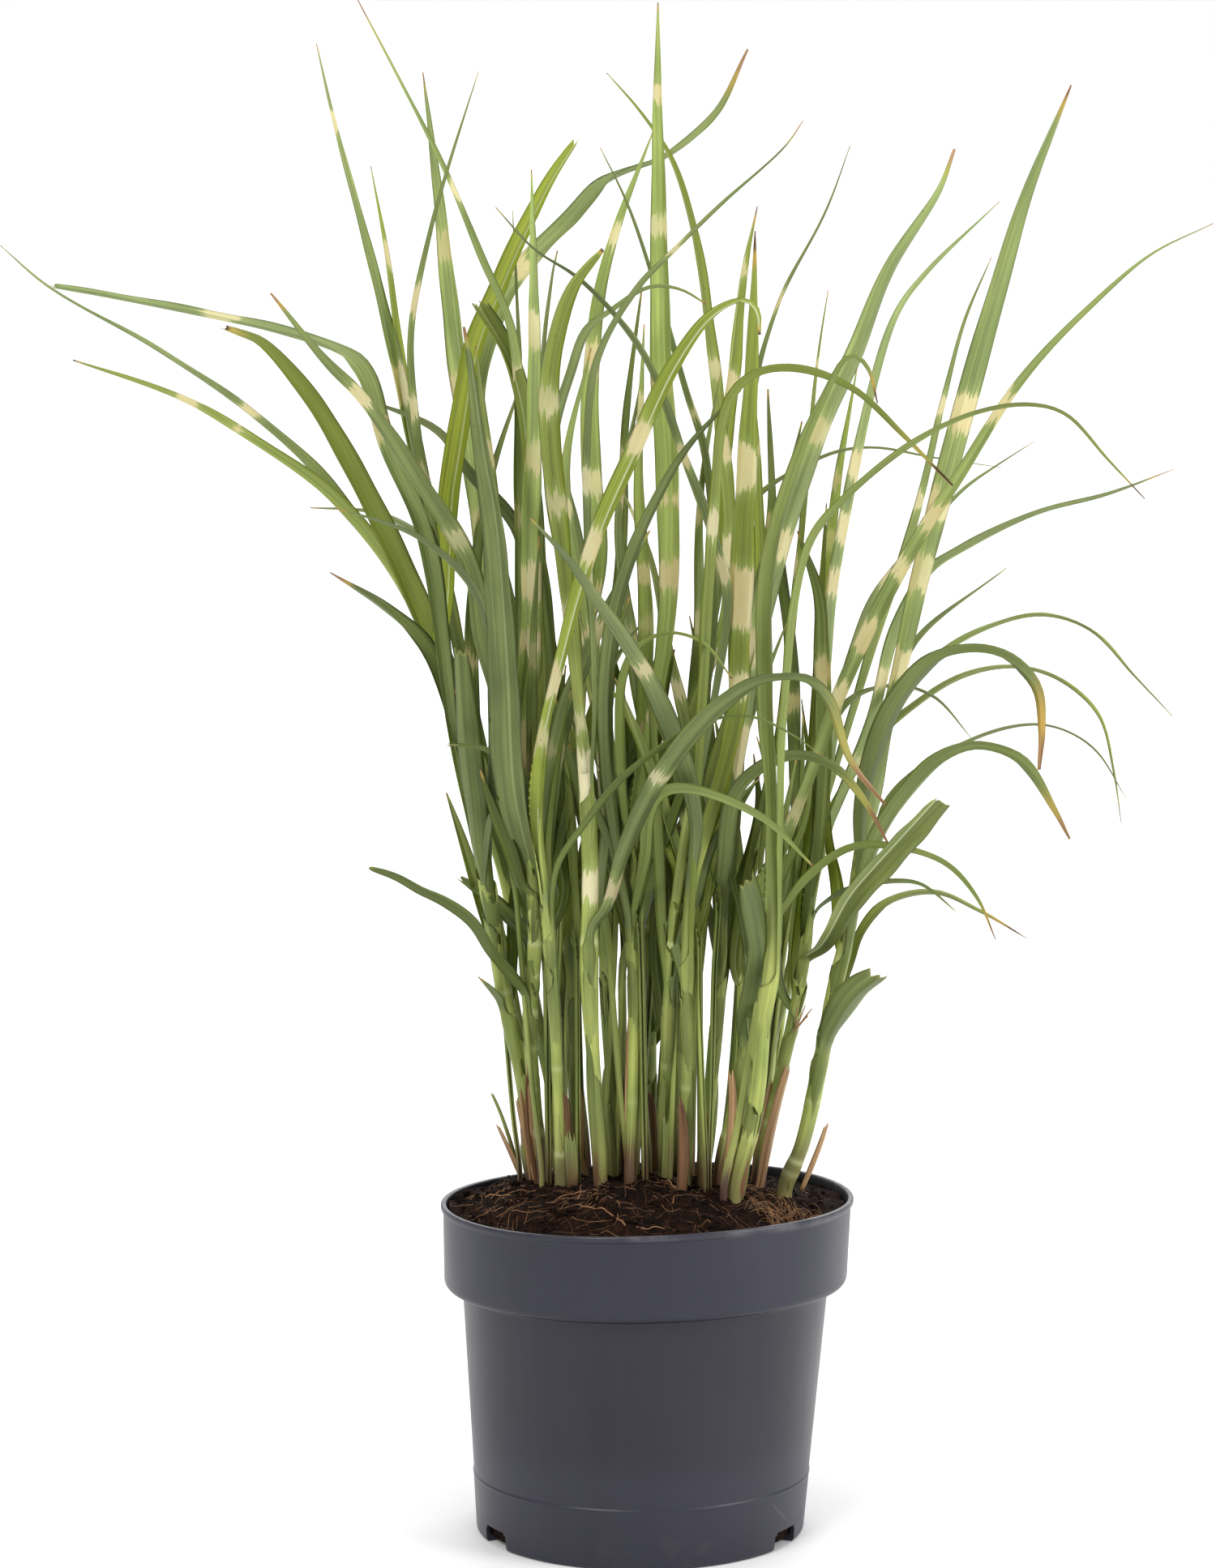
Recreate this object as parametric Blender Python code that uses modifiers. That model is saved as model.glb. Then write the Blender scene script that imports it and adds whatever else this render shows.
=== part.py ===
"""A potted clump of banded silver grass: a moulded grow pot, peat, stems and long arching leaves.

Metres, +Z up. The origin is the middle of the pot's flat underside, and -Y is the side that is
looked at. Stems and leaves are read off a front drawing, as points (across, down) of that drawing,
and each point is then set at its own depth along the line of sight, so the front view stays true.
"""

import math

import bmesh
import bpy
from mathutils import Matrix, Vector, noise

# The front drawing: its scale on the pot's axis, and where the axis and the ground are on it.
DRAWING_PER_METRE = 2200.0
DRAWING_AXIS = 794.0
DRAWING_GROUND = 1880.0
EYE_HEIGHT = 0.527
EYE_DISTANCE = 1.875

# The pot, a common 5 litre container.
POT_HEIGHT = 0.1825
RIM_RADIUS = 0.1152
BAND_TOP_RADIUS = 0.1138
BAND_FOOT_RADIUS = 0.1124
BAND_HEIGHT = 0.046
BODY_TOP_RADIUS = 0.1020
BASE_RADIUS = 0.0912
WALL = 0.0019
FLOOR = 0.0025
LIP = 0.0030
LIP_INSET = 0.0022
LIP_ROUND = 0.0006
BAND_LIFT = 0.0045
BAND_ROUND = 0.0022
SHOULDER_WIDTH = 0.0040
SHOULDER_DROP = 0.0035
FOOT_ROUND = 0.0022
RIDGE_HEIGHT = 0.0320
RIDGE_PROUD = 0.0006
RIDGE_HALF = 0.0008
POT_STEPS = 32
NOTCH_ANGLES = (-60, 60, 120, -120)
NOTCH_WIDTH = 0.022
NOTCH_HEIGHT = 0.010
NOTCH_DEPTH = 0.012

# The peat: its surface is a mound, flat in the middle and falling to the wall.
GAP = 0.0004
PEAT_EDGE = 0.1670
PEAT_CROWN = 0.1950
PEAT_FALL = 3.0
PEAT_RINGS = (0.0, 0.2, 0.42, 0.62, 0.80, 0.94, 1.0)
PEAT_STEPS = 24
PEAT_LUMP = 0.0022
LUMPS_PER_METRE = 55.0
FINE_LUMPS_PER_METRE = 130.0
SOCKET_DEPTH = 0.014
SOCKET_CLEARANCE = 0.0006
SOCKET_CUTTER = 0.06

# Stems and leaves.
STEM_SIDES = 6
STEM_TAPER = 0.78
GROUND_RISE = 0.004
CURVE_SPANS = 10
BLADE_THICKNESS = 0.0011
BLADE_FOLD = 0.16
TIP_WIDTH = 0.0009
COLLAR_SHARE = 0.62
FULL_WIDTH_AT = 0.35
TIP_TAPER = 2.6
LEAST_SHOWN, MOST_SHOWN = 0.30, 0.97
LOOKS_IN = 2.0
COLLAR_GAP = 0.0009
SHEATH_LENGTH = 0.016
TWIST_TURN = 16.0
DEPTH_GROWTH = 0.9
STEM_RING = 0.100
LEAF_RING = 0.090
RING_TURN = 25.0
MM = 0.001

# name: (across at the peat, depth there, depth at the top, diameter, route up) - depths and
# diameters in millimetres, negative depths towards the front.
STEMS = {
    "stem_01": (661, 25, -20, 9.0, [(644, 1323), (624, 1237), (601, 1093), (590, 1040)]),
    "stem_02": (655, 55, 35, 5.2, [(648, 1323), (630, 1208), (604, 1093), (588, 1010)]),
    "stem_03": (668, 2, -20, 6.6, [(654, 1266), (660, 1148), (650, 1020)]),
    "stem_04": (692, -12, -45, 6.2, [(684, 1248), (673, 1110), (664, 1020)]),
    "stem_05": (712, 30, 20, 6.2, [(706, 1300), (700, 1100), (704, 960)]),
    "stem_06": (741, -20, -60, 6.6, [(728, 1237), (727, 1168), (728, 1065), (722, 950), (708, 822)]),
    "stem_07": (760, 12, 4, 6.4, [(748, 1237), (748, 1168), (750, 1065), (744, 950), (726, 822)]),
    "stem_08": (777, -14, 0, 6.6, [(782, 1208), (777, 1122), (785, 1020)]),
    "stem_09": (800, 38, 45, 8.0, [(801, 1300), (802, 1122), (815, 1010)]),
    "stem_10": (818, 6, -32, 6.2, [(822, 1300), (830, 1150), (850, 1000)]),
    "stem_11": (845, -18, -38, 6.6, [(848, 1300), (848, 1149), (858, 1060)]),
    "stem_12": (868, 8, 0, 6.6, [(885, 1258), (888, 1172), (889, 1126)]),
    "stem_13": (888, -14, -20, 7.0, [(914, 1322), (920, 1205), (930, 1120)]),
    "stem_14": (907, -38, -70, 9.0, [(925, 1400), (935, 1340), (942, 1259), (950, 1200), (957, 1150)]),
    "stem_15": (937, 4, -5, 6.6, [(962, 1332), (975, 1274), (987, 1216), (998, 1130)]),
    "stem_16": (935, 40, 40, 6.2, [(949, 1322), (954, 1274), (968, 1226), (987, 1150), (1008, 1010)]),
    "stem_17": (968, -10, -45, 7.3, [(990, 1410), (1012, 1310), (1025, 1240), (1045, 1150), (1065, 1030)]),
    "stem_18": (905, 62, 95, 6.4, [(930, 1300), (965, 1150), (1005, 1020)]),
    "stem_19": (835, 60, 85, 6.4, [(838, 1250), (845, 1050)]),
    "stem_20": (722, 62, 85, 6.4, [(700, 1250), (670, 1100), (640, 960)]),
    "stem_21": (694, 48, 75, 6.4, [(668, 1280), (632, 1120), (600, 980)]),
    "stem_22": (765, 66, 110, 6.4, [(752, 1250), (735, 1080), (700, 940)]),
}

# The leaf that each stem ends in: (width seen in the drawing, true width in mm, turn of the
# blade's face +1 or -1, depth of the tip in mm, width of the tip in mm, route up from the stem).
TOP_LEAVES = {
    "stem_01": (30, 15, 1, -60, 9, [(582, 980), (575, 920), (570, 860), (566, 800)]),
    "stem_02": (25, 14, 1, 60, 5, [(566, 900), (547, 800), (553, 731), (558, 616), (567, 558),
                                   (590, 429), (617, 360), (652, 281), (677, 230), (714, 171)]),
    "stem_03": (20, 13, -1, -10, 1, [(640, 900), (648, 800), (650, 620), (653, 560), (655, 400),
                                    (655, 209)]),
    "stem_04": (26, 14, 1, -170, 2, [(670, 920), (687, 839), (732, 679), (792, 541), (835, 450),
                                    (880, 390), (918, 372), (933, 384), (936, 413)]),
    "stem_05": (24, 14, -1, 90, 1, [(716, 800), (733, 680), (724, 580), (725, 454), (735, 370),
                                   (755, 290), (790, 200), (805, 163)]),
    "stem_06": (28, 15, 1, -130, 3, [(690, 680), (672, 500), (683, 411), (706, 350), (743, 307)]),
    "stem_07": (22, 13, -1, -60, 2, [(700, 720), (680, 590), (686, 531), (706, 462), (726, 408),
                                    (755, 385), (801, 356), (838, 358), (871, 376)]),
    "stem_08": (28, 15, 1, 20, 1, [(805, 900), (826, 760), (828, 600), (820, 450), (816, 265),
                                  (813, 108), (812, 3)]),
    "stem_09": (18, 13, -1, 110, 1, [(850, 880), (890, 760), (894, 650), (883, 520), (873, 422),
                                    (855, 293), (826, 196), (790, 140), (748, 90)]),
    "stem_10": (14, 12, 1, -110, 1, [(880, 850), (893, 740), (878, 670), (838, 560), (798, 451),
                                    (755, 388), (709, 342), (657, 307), (611, 256)]),
    "stem_11": (18, 12, 1, -90, 1, [(880, 980), (903, 880), (905, 780), (910, 650), (925, 400),
                                   (931, 285)]),
    "stem_12": (29, 15, -1, -60, 2, [(898, 1040), (912, 930), (935, 790), (963, 677), (1014, 530),
                                    (1060, 430), (1100, 330), (1160, 235), (1178, 184)]),
    "stem_13": (23, 13, 1, -190, 1, [(960, 1060), (1000, 960), (1045, 840), (1115, 700), (1190, 580),
                                    (1265, 465), (1340, 385), (1420, 315), (1497, 276)]),
    "stem_14": (18, 13, -1, -190, 1, [(956, 1000), (950, 850), (950, 740), (962, 650), (986, 573),
                                     (1015, 501), (1050, 440), (1069, 455), (1082, 498)]),
    "stem_15": (20, 13, 1, -20, 2, [(1012, 1050), (1020, 950), (1019, 815), (1013, 730), (985, 655)]),
    "stem_16": (14, 12, -1, 110, 1, [(1020, 880), (1032, 730), (1059, 580), (1080, 480), (1110, 385),
                                    (1145, 337), (1233, 249)]),
    "stem_17": (33, 16, 1, -90, 1, [(1085, 920), (1105, 840), (1135, 705), (1184, 514), (1225, 370),
                                   (1265, 240), (1321, 105)]),
    "stem_18": (14, 12, 1, 150, 1, [(1015, 900), (1023, 740), (1038, 587), (1058, 452)]),
    "stem_19": (18, 13, -1, 180, 1, [(860, 850), (872, 700), (885, 560), (898, 474), (915, 335),
                                    (934, 254)]),
    "stem_20": (24, 14, 1, 150, 1, [(612, 760), (592, 580), (567, 429), (552, 306), (540, 210),
                                   (522, 89)]),
    "stem_21": (20, 13, -1, 100, 1, [(570, 830), (532, 663), (512, 570), (486, 450), (455, 320),
                                   (410, 146), (390, 54)]),
    "stem_22": (27, 15, 1, 190, 2, [(640, 780), (600, 620), (588, 500), (615, 390), (648, 333),
                                   (700, 280), (750, 225), (830, 190), (885, 140), (923, 61)]),
}

# Leaves that leave a stem at a collar, each its own piece: (stem, how far down the drawing the
# collar is, width seen, true width in mm, depth of the tip in mm, width of the tip in mm, route).
SIDE_LEAVES = {
    "leaf_left_01": ("stem_21", 1060, 13, 11, 140, 1, [(576, 900), (520, 760), (440, 650),
                     (383, 579), (297, 503), (190, 430), (57, 353), (0, 303)]),
    "leaf_left_02": ("stem_01", 1105, 18, 12, 25, 7, [(556, 900), (540, 775), (520, 660),
                     (470, 540), (447, 465), (425, 440), (340, 410), (250, 390), (130, 366), (62, 354)]),
    "leaf_left_04": ("stem_20", 1080, 16, 12, -60, 2, [(632, 930), (590, 800), (574, 705),
                     (509, 594), (442, 494), (400, 450), (333, 362)]),
    "leaf_left_05": ("stem_02", 1115, 27, 14, 70, 5, [(560, 860), (520, 760), (455, 620),
                     (380, 490), (322, 425), (298, 414), (269, 403)]),
    "leaf_left_06": ("stem_21", 1115, 16, 12, 62, 2, [(562, 900), (528, 790), (470, 690),
                     (400, 610), (288, 531), (220, 492), (90, 445)]),
    "leaf_left_07": ("stem_20", 1170, 16, 12, 170, 2, [(630, 900), (605, 760), (573, 713),
                     (518, 664), (461, 634), (383, 627)]),
    "leaf_left_08": ("stem_01", 1155, 15, 12, 12, 2, [(578, 960), (545, 855), (516, 793),
                     (470, 750), (407, 707)]),
    "leaf_left_12": ("stem_02", 1050, 12, 11, -20, 1, [(556, 880), (536, 700), (518, 587),
                     (504, 472), (506, 390), (530, 280), (550, 210), (590, 88)]),
    "leaf_left_13": ("stem_03", 1105, 20, 13, 30, 1, [(643, 960), (640, 800), (638, 620),
                     (630, 415), (591, 316), (545, 205), (490, 95), (441, 0)]),
    "leaf_left_17": ("stem_05", 1120, 18, 13, 90, 9, [(685, 950), (668, 800), (650, 560),
                     (627, 455), (601, 398), (582, 374)]),
    "leaf_left_18": ("stem_03", 1142, 28, 15, -164, 2, [(635, 980), (629, 822), (619, 644),
                     (604, 558), (584, 438), (574, 403)]),
    "leaf_mid_25": ("stem_06", 1000, 8, 9, -180, 1, [(736, 850), (728, 640), (738, 451),
                    (787, 359), (836, 307), (894, 250), (970, 180), (991, 149)]),
    "leaf_left_40": ("stem_03", 1266, 14, 12, -80, 6, [(627, 1208), (601, 1177), (578, 1142),
                     (543, 1116), (515, 1102), (486, 1085), (452, 1072)]),
    "leaf_left_41": ("stem_03", 1220, 14, 11, 40, 5, [(645, 1155), (630, 1139), (607, 1116),
                     (584, 1099), (564, 1083)]),
    "leaf_right_02": ("stem_18", 1075, 13, 12, 60, 1, [(1030, 960), (1080, 800), (1130, 650),
                      (1165, 500), (1190, 400), (1223, 318)]),
    "leaf_right_05": ("stem_12", 1222, 8, 9, 54, 1, [(914, 1000), (922, 800), (925, 650),
                      (930, 500), (962, 375), (1020, 260), (1049, 180)]),
    "leaf_right_12": ("stem_16", 1185, 14, 12, -60, 1, [(1030, 1010), (1078, 900), (1110, 780), (1150, 706),
                      (1193, 677), (1280, 634), (1366, 611), (1449, 579)]),
    "leaf_right_14": ("stem_14", 1225, 9, 10, -230, 1, [(965, 1030), (970, 880), (1000, 676),
                      (1043, 618), (1130, 547), (1201, 512), (1270, 501), (1313, 512),
                      (1366, 568), (1412, 616)]),
    "leaf_right_15": ("stem_11", 1200, 10, 10, -150, 2, [(862, 1000), (872, 850), (885, 650),
                      (902, 500), (932, 465), (980, 458), (1049, 481), (1112, 538), (1175, 600)]),
    "leaf_right_17": ("stem_16", 1100, 10, 10, 20, 1, [(1025, 960), (1045, 840), (1080, 740),
                      (1130, 673), (1187, 607), (1230, 575), (1276, 545)]),
    "leaf_right_19": ("stem_16", 1150, 10, 10, 70, 1, [(1030, 1010), (1085, 900), (1153, 816),
                      (1223, 774), (1287, 760), (1344, 778), (1399, 835), (1446, 884)]),
    "leaf_right_20": ("stem_17", 1105, 29, 15, -130, 2, [(1064, 1000), (1080, 930), (1112, 860),
                      (1155, 815), (1207, 804), (1245, 815), (1277, 848), (1284, 899), (1281, 950)]),
    "leaf_right_21": ("stem_18", 1200, 10, 10, 150, 1, [(1022, 1030), (1070, 930), (1137, 867),
                      (1191, 835), (1249, 824), (1303, 838), (1354, 883), (1373, 953), (1383, 1017)]),
    "leaf_right_22": ("stem_17", 1146, 9, 10, 90, 1, [(1080, 1050), (1092, 995), (1140, 947),
                      (1223, 905), (1281, 895), (1320, 905), (1354, 930), (1389, 986)]),
    "leaf_right_23": ("stem_17", 1200, 20, 14, -130, 2, [(1060, 1110), (1082, 1045), (1112, 994),
                      (1159, 943), (1204, 924), (1255, 940), (1297, 998), (1319, 1036)]),
    "leaf_right_24": ("stem_15", 1225, 29, 15, -210, 9, [(1014, 1165), (1048, 1106), (1080, 1068),
                      (1112, 1033), (1156, 985)]),
    "leaf_right_25": ("stem_13", 1225, 11, 10, -190, 1, [(935, 1180), (960, 1135), (999, 1085),
                      (1051, 1049), (1112, 1049), (1166, 1068), (1204, 1109), (1228, 1160)]),
    "leaf_right_27": ("stem_17", 1278, 10, 10, 50, 1, [(1052, 1190), (1066, 1150), (1096, 1116),
                      (1153, 1103), (1207, 1125), (1266, 1158)]),
    "leaf_right_28": ("stem_17", 1318, 21, 14, -70, 9, [(1029, 1269), (1056, 1226), (1084, 1208)]),
    "leaf_mid_30": ("stem_06", 1180, 27, 15, -210, 2, [(750, 1120), (772, 1052), (800, 990),
                    (838, 931), (893, 872), (944, 842), (993, 841), (1020, 865), (1048, 940),
                    (1091, 993)]),
    "leaf_mid_31": ("stem_04", 1170, 10, 10, -150, 1, [(690, 1070), (720, 1023), (772, 960),
                    (827, 917), (873, 891), (924, 885), (973, 905), (1016, 934)]),
    "leaf_mid_32": ("stem_12", 1175, 20, 14, -135, 2, [(900, 1060), (916, 975),
                    (976, 937), (1022, 947), (1062, 987), (1094, 1040)]),
    "leaf_mid_33": ("stem_08", 1174, 17, 13, -150, 2, [(801, 1058), (806, 1008), (818, 984),
                    (850, 978), (939, 1012), (1002, 1069)]),
}

# Small leaves, cut leaf ends and dry stubs that are one piece with their stem: the same values as
# for a side leaf, but for the stem's name.
SMALL_LEAVES = {
    "stem_01": [(1270, 12, 10, -40, 3, [(606, 1225), (591, 1207)])],
    "stem_02": [(1395, 7, 7, 40, 1, [(630, 1400), (605, 1344)])],
    "stem_03": [(1090, 12, 10, -60, 5, [(640, 960), (594, 925), (551, 920)]),
                (1180, 20, 12, 30, 5, [(625, 1066), (608, 1023), (600, 986)])],
    "stem_04": [(1440, 16, 9, -30, 6, [(679, 1400), (677, 1362)])],
    "stem_05": [(1040, 8, 9, 80, 1, [(670, 720), (641, 560), (639, 446), (632, 260)])],
    "stem_07": [(960, 10, 10, 60, 2, [(716, 700), (668, 480), (680, 340), (687, 309)])],
    "stem_09": [(1160, 18, 13, 70, 2, [(800, 980), (775, 800), (760, 640), (790, 470)]),
                (1100, 10, 10, 60, 1, [(838, 980), (876, 780), (867, 566), (844, 485), (804, 345),
                (772, 250), (740, 182)])],
    "stem_10": [(1180, 16, 12, 40, 2, [(850, 960), (820, 800), (800, 690), (765, 600)])],
    "stem_13": [(1180, 9, 9, 40, 1, [(948, 1000), (972, 850), (995, 620), (1010, 443),
                (1022, 358)]),
                (1415, 15, 9, -30, 6, [(901, 1390), (900, 1336)])],
    "stem_15": [(1400, 18, 11, -20, 7, [(962, 1360), (974, 1312)]),
                (1165, 7, 8, -140, 1, [(1030, 1108), (1060, 1096), (1108, 1089), (1137, 1093),
                (1179, 1125)])],
    "stem_16": [(1090, 8, 9, 90, 1, [(1010, 960), (1048, 868), (1100, 847), (1150, 860),
                (1199, 912)])],
    "stem_17": [(1445, 9, 8, -20, 5, [(1004, 1405), (1018, 1384)]),
                (1060, 8, 9, 30, 1, [(1100, 870), (1133, 791), (1242, 701)])],
    "stem_18": [(1130, 18, 13, 160, 2, [(985, 980), (980, 800), (965, 660), (990, 520)])],
    "stem_19": [(1100, 9, 9, 130, 1, [(872, 900), (885, 760), (924, 628), (1015, 565),
                (1072, 553), (1150, 565), (1234, 577)]),
                (1130, 20, 14, 140, 2, [(905, 960), (935, 800), (955, 640), (948, 480)])],
    "stem_20": [(1130, 18, 13, 140, 2, [(690, 960), (712, 800), (700, 640), (670, 520)]),
                (1010, 15, 12, 60, 2, [(650, 850), (648, 740), (632, 655), (575, 587), (538, 535),
                (456, 495)])],
    "stem_21": [(1440, 9, 8, 40, 4, [(640, 1440), (611, 1382)]),
                (1000, 10, 9, 100, 1, [(560, 800), (525, 640), (497, 490), (475, 313),
                (457, 205)])],
    "stem_22": [(1110, 18, 13, 120, 2, [(750, 900), (770, 700), (775, 520), (792, 360)])],
}

LEAF_GREEN = (0.20, 0.32, 0.10)
STEM_GREEN = (0.30, 0.42, 0.12)
POT_GREY = (0.055, 0.058, 0.072)
PEAT_BROWN = (0.035, 0.020, 0.013)


def clear_scene():
    for found in list(bpy.data.objects):
        bpy.data.objects.remove(found, do_unlink=True)


def new_collection(name):
    made = bpy.data.collections.new(name)
    bpy.context.scene.collection.children.link(made)
    return made


def plain_material(name, colour, roughness):
    made = bpy.data.materials.new(name)
    made.use_nodes = True
    shader = made.node_tree.nodes["Principled BSDF"]
    shader.inputs["Base Color"].default_value = (*colour, 1.0)
    shader.inputs["Roughness"].default_value = roughness
    shader.inputs["Metallic"].default_value = 0.0
    return made


def object_from(bm, name, collection, material):
    mesh = bpy.data.meshes.new(name)
    bm.to_mesh(mesh)
    bm.free()
    mesh.materials.append(material)
    made = bpy.data.objects.new(name, mesh)
    collection.objects.link(made)
    return made


def hide_helper(helper):
    helper.hide_render = True
    helper.display_type = "WIRE"


def boolean(target, helper, operation):
    step = target.modifiers.new(f"{operation} {helper.name}", "BOOLEAN")
    step.operation = operation
    step.solver = "EXACT"
    step.object = helper


def applied(source, name, collection, material):
    """A mesh object of what the source's modifiers make; the source itself is removed."""
    graph = bpy.context.evaluated_depsgraph_get()
    mesh = bpy.data.meshes.new_from_object(source.evaluated_get(graph))
    mesh.name = name
    mesh.materials.clear()
    mesh.materials.append(material)
    made = bpy.data.objects.new(name, mesh)
    made.matrix_world = source.matrix_world
    bpy.data.objects.remove(source, do_unlink=True)
    made.name = name
    collection.objects.link(made)
    return made


def turned(name, profile, steps, collection, material):
    """A closed turned solid of a profile of (radius, height), down its outer side."""
    bm = bmesh.new()
    corners = [bm.verts.new((radius, 0.0, height)) for radius, height in profile]
    for first, second in zip(corners, corners[1:]):
        bm.edges.new((first, second))
    made = object_from(bm, name, collection, material)
    screw = made.modifiers.new("Turn", "SCREW")
    screw.axis = "Z"
    screw.steps = steps
    screw.render_steps = steps
    screw.use_merge_vertices = True
    screw.merge_threshold = 0.00005
    return made


# ---------------------------------------------------------------- pot and peat

def pot_profile():
    """From the middle of the floor's inside, up the inner wall, over the lip and down outside."""
    shoulder = POT_HEIGHT - BAND_HEIGHT
    ridge_radius = BASE_RADIUS + (BODY_TOP_RADIUS - BASE_RADIUS) * RIDGE_HEIGHT / shoulder
    outside = [
        (RIM_RADIUS - LIP_INSET, POT_HEIGHT),
        (RIM_RADIUS - LIP_ROUND, POT_HEIGHT - LIP_ROUND),
        (RIM_RADIUS, POT_HEIGHT - LIP * 0.6),
        (RIM_RADIUS - LIP_ROUND, POT_HEIGHT - LIP * 1.3),
        (BAND_TOP_RADIUS, POT_HEIGHT - LIP * 1.6),
        (BAND_FOOT_RADIUS, shoulder + BAND_LIFT),
        (BAND_FOOT_RADIUS - BAND_ROUND, shoulder + BAND_ROUND * 0.4),
        (BODY_TOP_RADIUS + SHOULDER_WIDTH, shoulder - SHOULDER_DROP * 0.4),
        (BODY_TOP_RADIUS, shoulder - SHOULDER_DROP),
        (ridge_radius, RIDGE_HEIGHT + RIDGE_HALF),
        (ridge_radius + RIDGE_PROUD, RIDGE_HEIGHT),
        (ridge_radius, RIDGE_HEIGHT - RIDGE_HALF),
        (BASE_RADIUS, FOOT_ROUND),
        (BASE_RADIUS - FOOT_ROUND, 0.0),
        (0.0, 0.0),
    ]
    inside = [
        (0.0, FLOOR),
        (BASE_RADIUS - WALL, FLOOR),
        (BODY_TOP_RADIUS - WALL, shoulder - SHOULDER_DROP * 0.4),
        (BAND_FOOT_RADIUS - WALL, shoulder + BAND_LIFT * 0.6),
        (BAND_TOP_RADIUS - WALL, POT_HEIGHT - LIP),
    ]
    return inside + outside


def notch_cutters(collection, material):
    """Drain notches in the foot of the wall, each a rounded block across the corner."""
    made = []
    for angle in NOTCH_ANGLES:
        bm = bmesh.new()
        bmesh.ops.create_cube(bm, size=1.0)
        stretch = Matrix.Diagonal((NOTCH_WIDTH, NOTCH_DEPTH * 2, NOTCH_HEIGHT * 2, 1.0))
        bmesh.ops.transform(bm, matrix=stretch, verts=bm.verts)
        cutter = object_from(bm, f"notch_cutter_{len(made)}", collection, material)
        turn = math.radians(angle)
        cutter.location = (BASE_RADIUS * math.sin(turn), -BASE_RADIUS * math.cos(turn), 0.0)
        cutter.rotation_euler = (0.0, 0.0, turn)
        hide_helper(cutter)
        made.append(cutter)
    return made


def make_pot(parts, helpers):
    material = plain_material("pot_plastic", POT_GREY, 0.42)
    pot = turned("pot", pot_profile(), POT_STEPS, parts, material)
    for cutter in notch_cutters(helpers, material):
        boolean(pot, cutter, "DIFFERENCE")
    return pot


def peat_height(x, y):
    """The mound's height over a place in the pot."""
    out = min(1.0, math.hypot(x, y) / (BAND_TOP_RADIUS - WALL))
    return PEAT_EDGE + (PEAT_CROWN - PEAT_EDGE) * (1.0 - out ** PEAT_FALL)


def peat_profile():
    shoulder = POT_HEIGHT - BAND_HEIGHT
    edge = BAND_TOP_RADIUS - WALL - GAP * 2.5
    top = [(edge * part, peat_height(edge * part, 0.0)) for part in PEAT_RINGS]
    sides = [
        (BAND_FOOT_RADIUS - WALL - GAP * 2, shoulder + BAND_LIFT * 0.6 + GAP * 2),
        (BODY_TOP_RADIUS - WALL - GAP * 2, shoulder - SHOULDER_DROP * 0.4 + GAP),
        (BASE_RADIUS - WALL - GAP * 2, FLOOR + GAP),
        (0.0, FLOOR + GAP),
    ]
    return top + sides


def make_peat(parts, bases):
    """Peat filling the pot, lumpy on top, with a socket round each stem's foot."""
    material = plain_material("peat", PEAT_BROWN, 0.95)
    turning = turned("peat_turning", peat_profile(), PEAT_STEPS, parts, material)
    soil = applied(turning, "soil", parts, material)
    for corner in soil.data.vertices:
        if corner.co.z > PEAT_EDGE + GAP:
            coarse = noise.noise(corner.co * LUMPS_PER_METRE)
            lump = coarse + 0.5 * noise.noise(corner.co * FINE_LUMPS_PER_METRE)
            corner.co.z += PEAT_LUMP * lump
    sockets = new_collection("sockets")
    for name, (foot, radius) in bases.items():
        bm = bmesh.new()
        wide = radius + SOCKET_CLEARANCE
        bmesh.ops.create_cone(bm, cap_ends=True, segments=STEM_SIDES, depth=SOCKET_CUTTER,
                              radius1=wide, radius2=wide)
        cutter = object_from(bm, f"socket_{name}", sockets, material)
        cutter.location = foot + Vector((0.0, 0.0, SOCKET_CUTTER / 2 - GAP))
        cutter.rotation_euler = (0.0, 0.0, math.radians(90.0))
        hide_helper(cutter)
    step = soil.modifiers.new("Sockets", "BOOLEAN")
    step.operation = "DIFFERENCE"
    step.solver = "EXACT"
    step.operand_type = "COLLECTION"
    step.collection = sockets
    return soil


# ---------------------------------------------------------------- routes and ribbons

def sight(across, down, depth):
    """The place that a point of the front drawing has at this depth behind the pot's axis."""
    away = 1.0 + depth / EYE_DISTANCE
    x = (across - DRAWING_AXIS) / DRAWING_PER_METRE * away
    height = (DRAWING_GROUND - down) / DRAWING_PER_METRE
    return Vector((x, depth, EYE_HEIGHT + (height - EYE_HEIGHT) * away))


def across_at(point):
    """How far across the front drawing a place is."""
    return DRAWING_AXIS + point.x / (1.0 + point.y / EYE_DISTANCE) * DRAWING_PER_METRE


def down_at(point):
    """How far down the front drawing a place is."""
    away = 1.0 + point.y / EYE_DISTANCE
    return DRAWING_GROUND - (EYE_HEIGHT + (point.z - EYE_HEIGHT) / away) * DRAWING_PER_METRE


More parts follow.
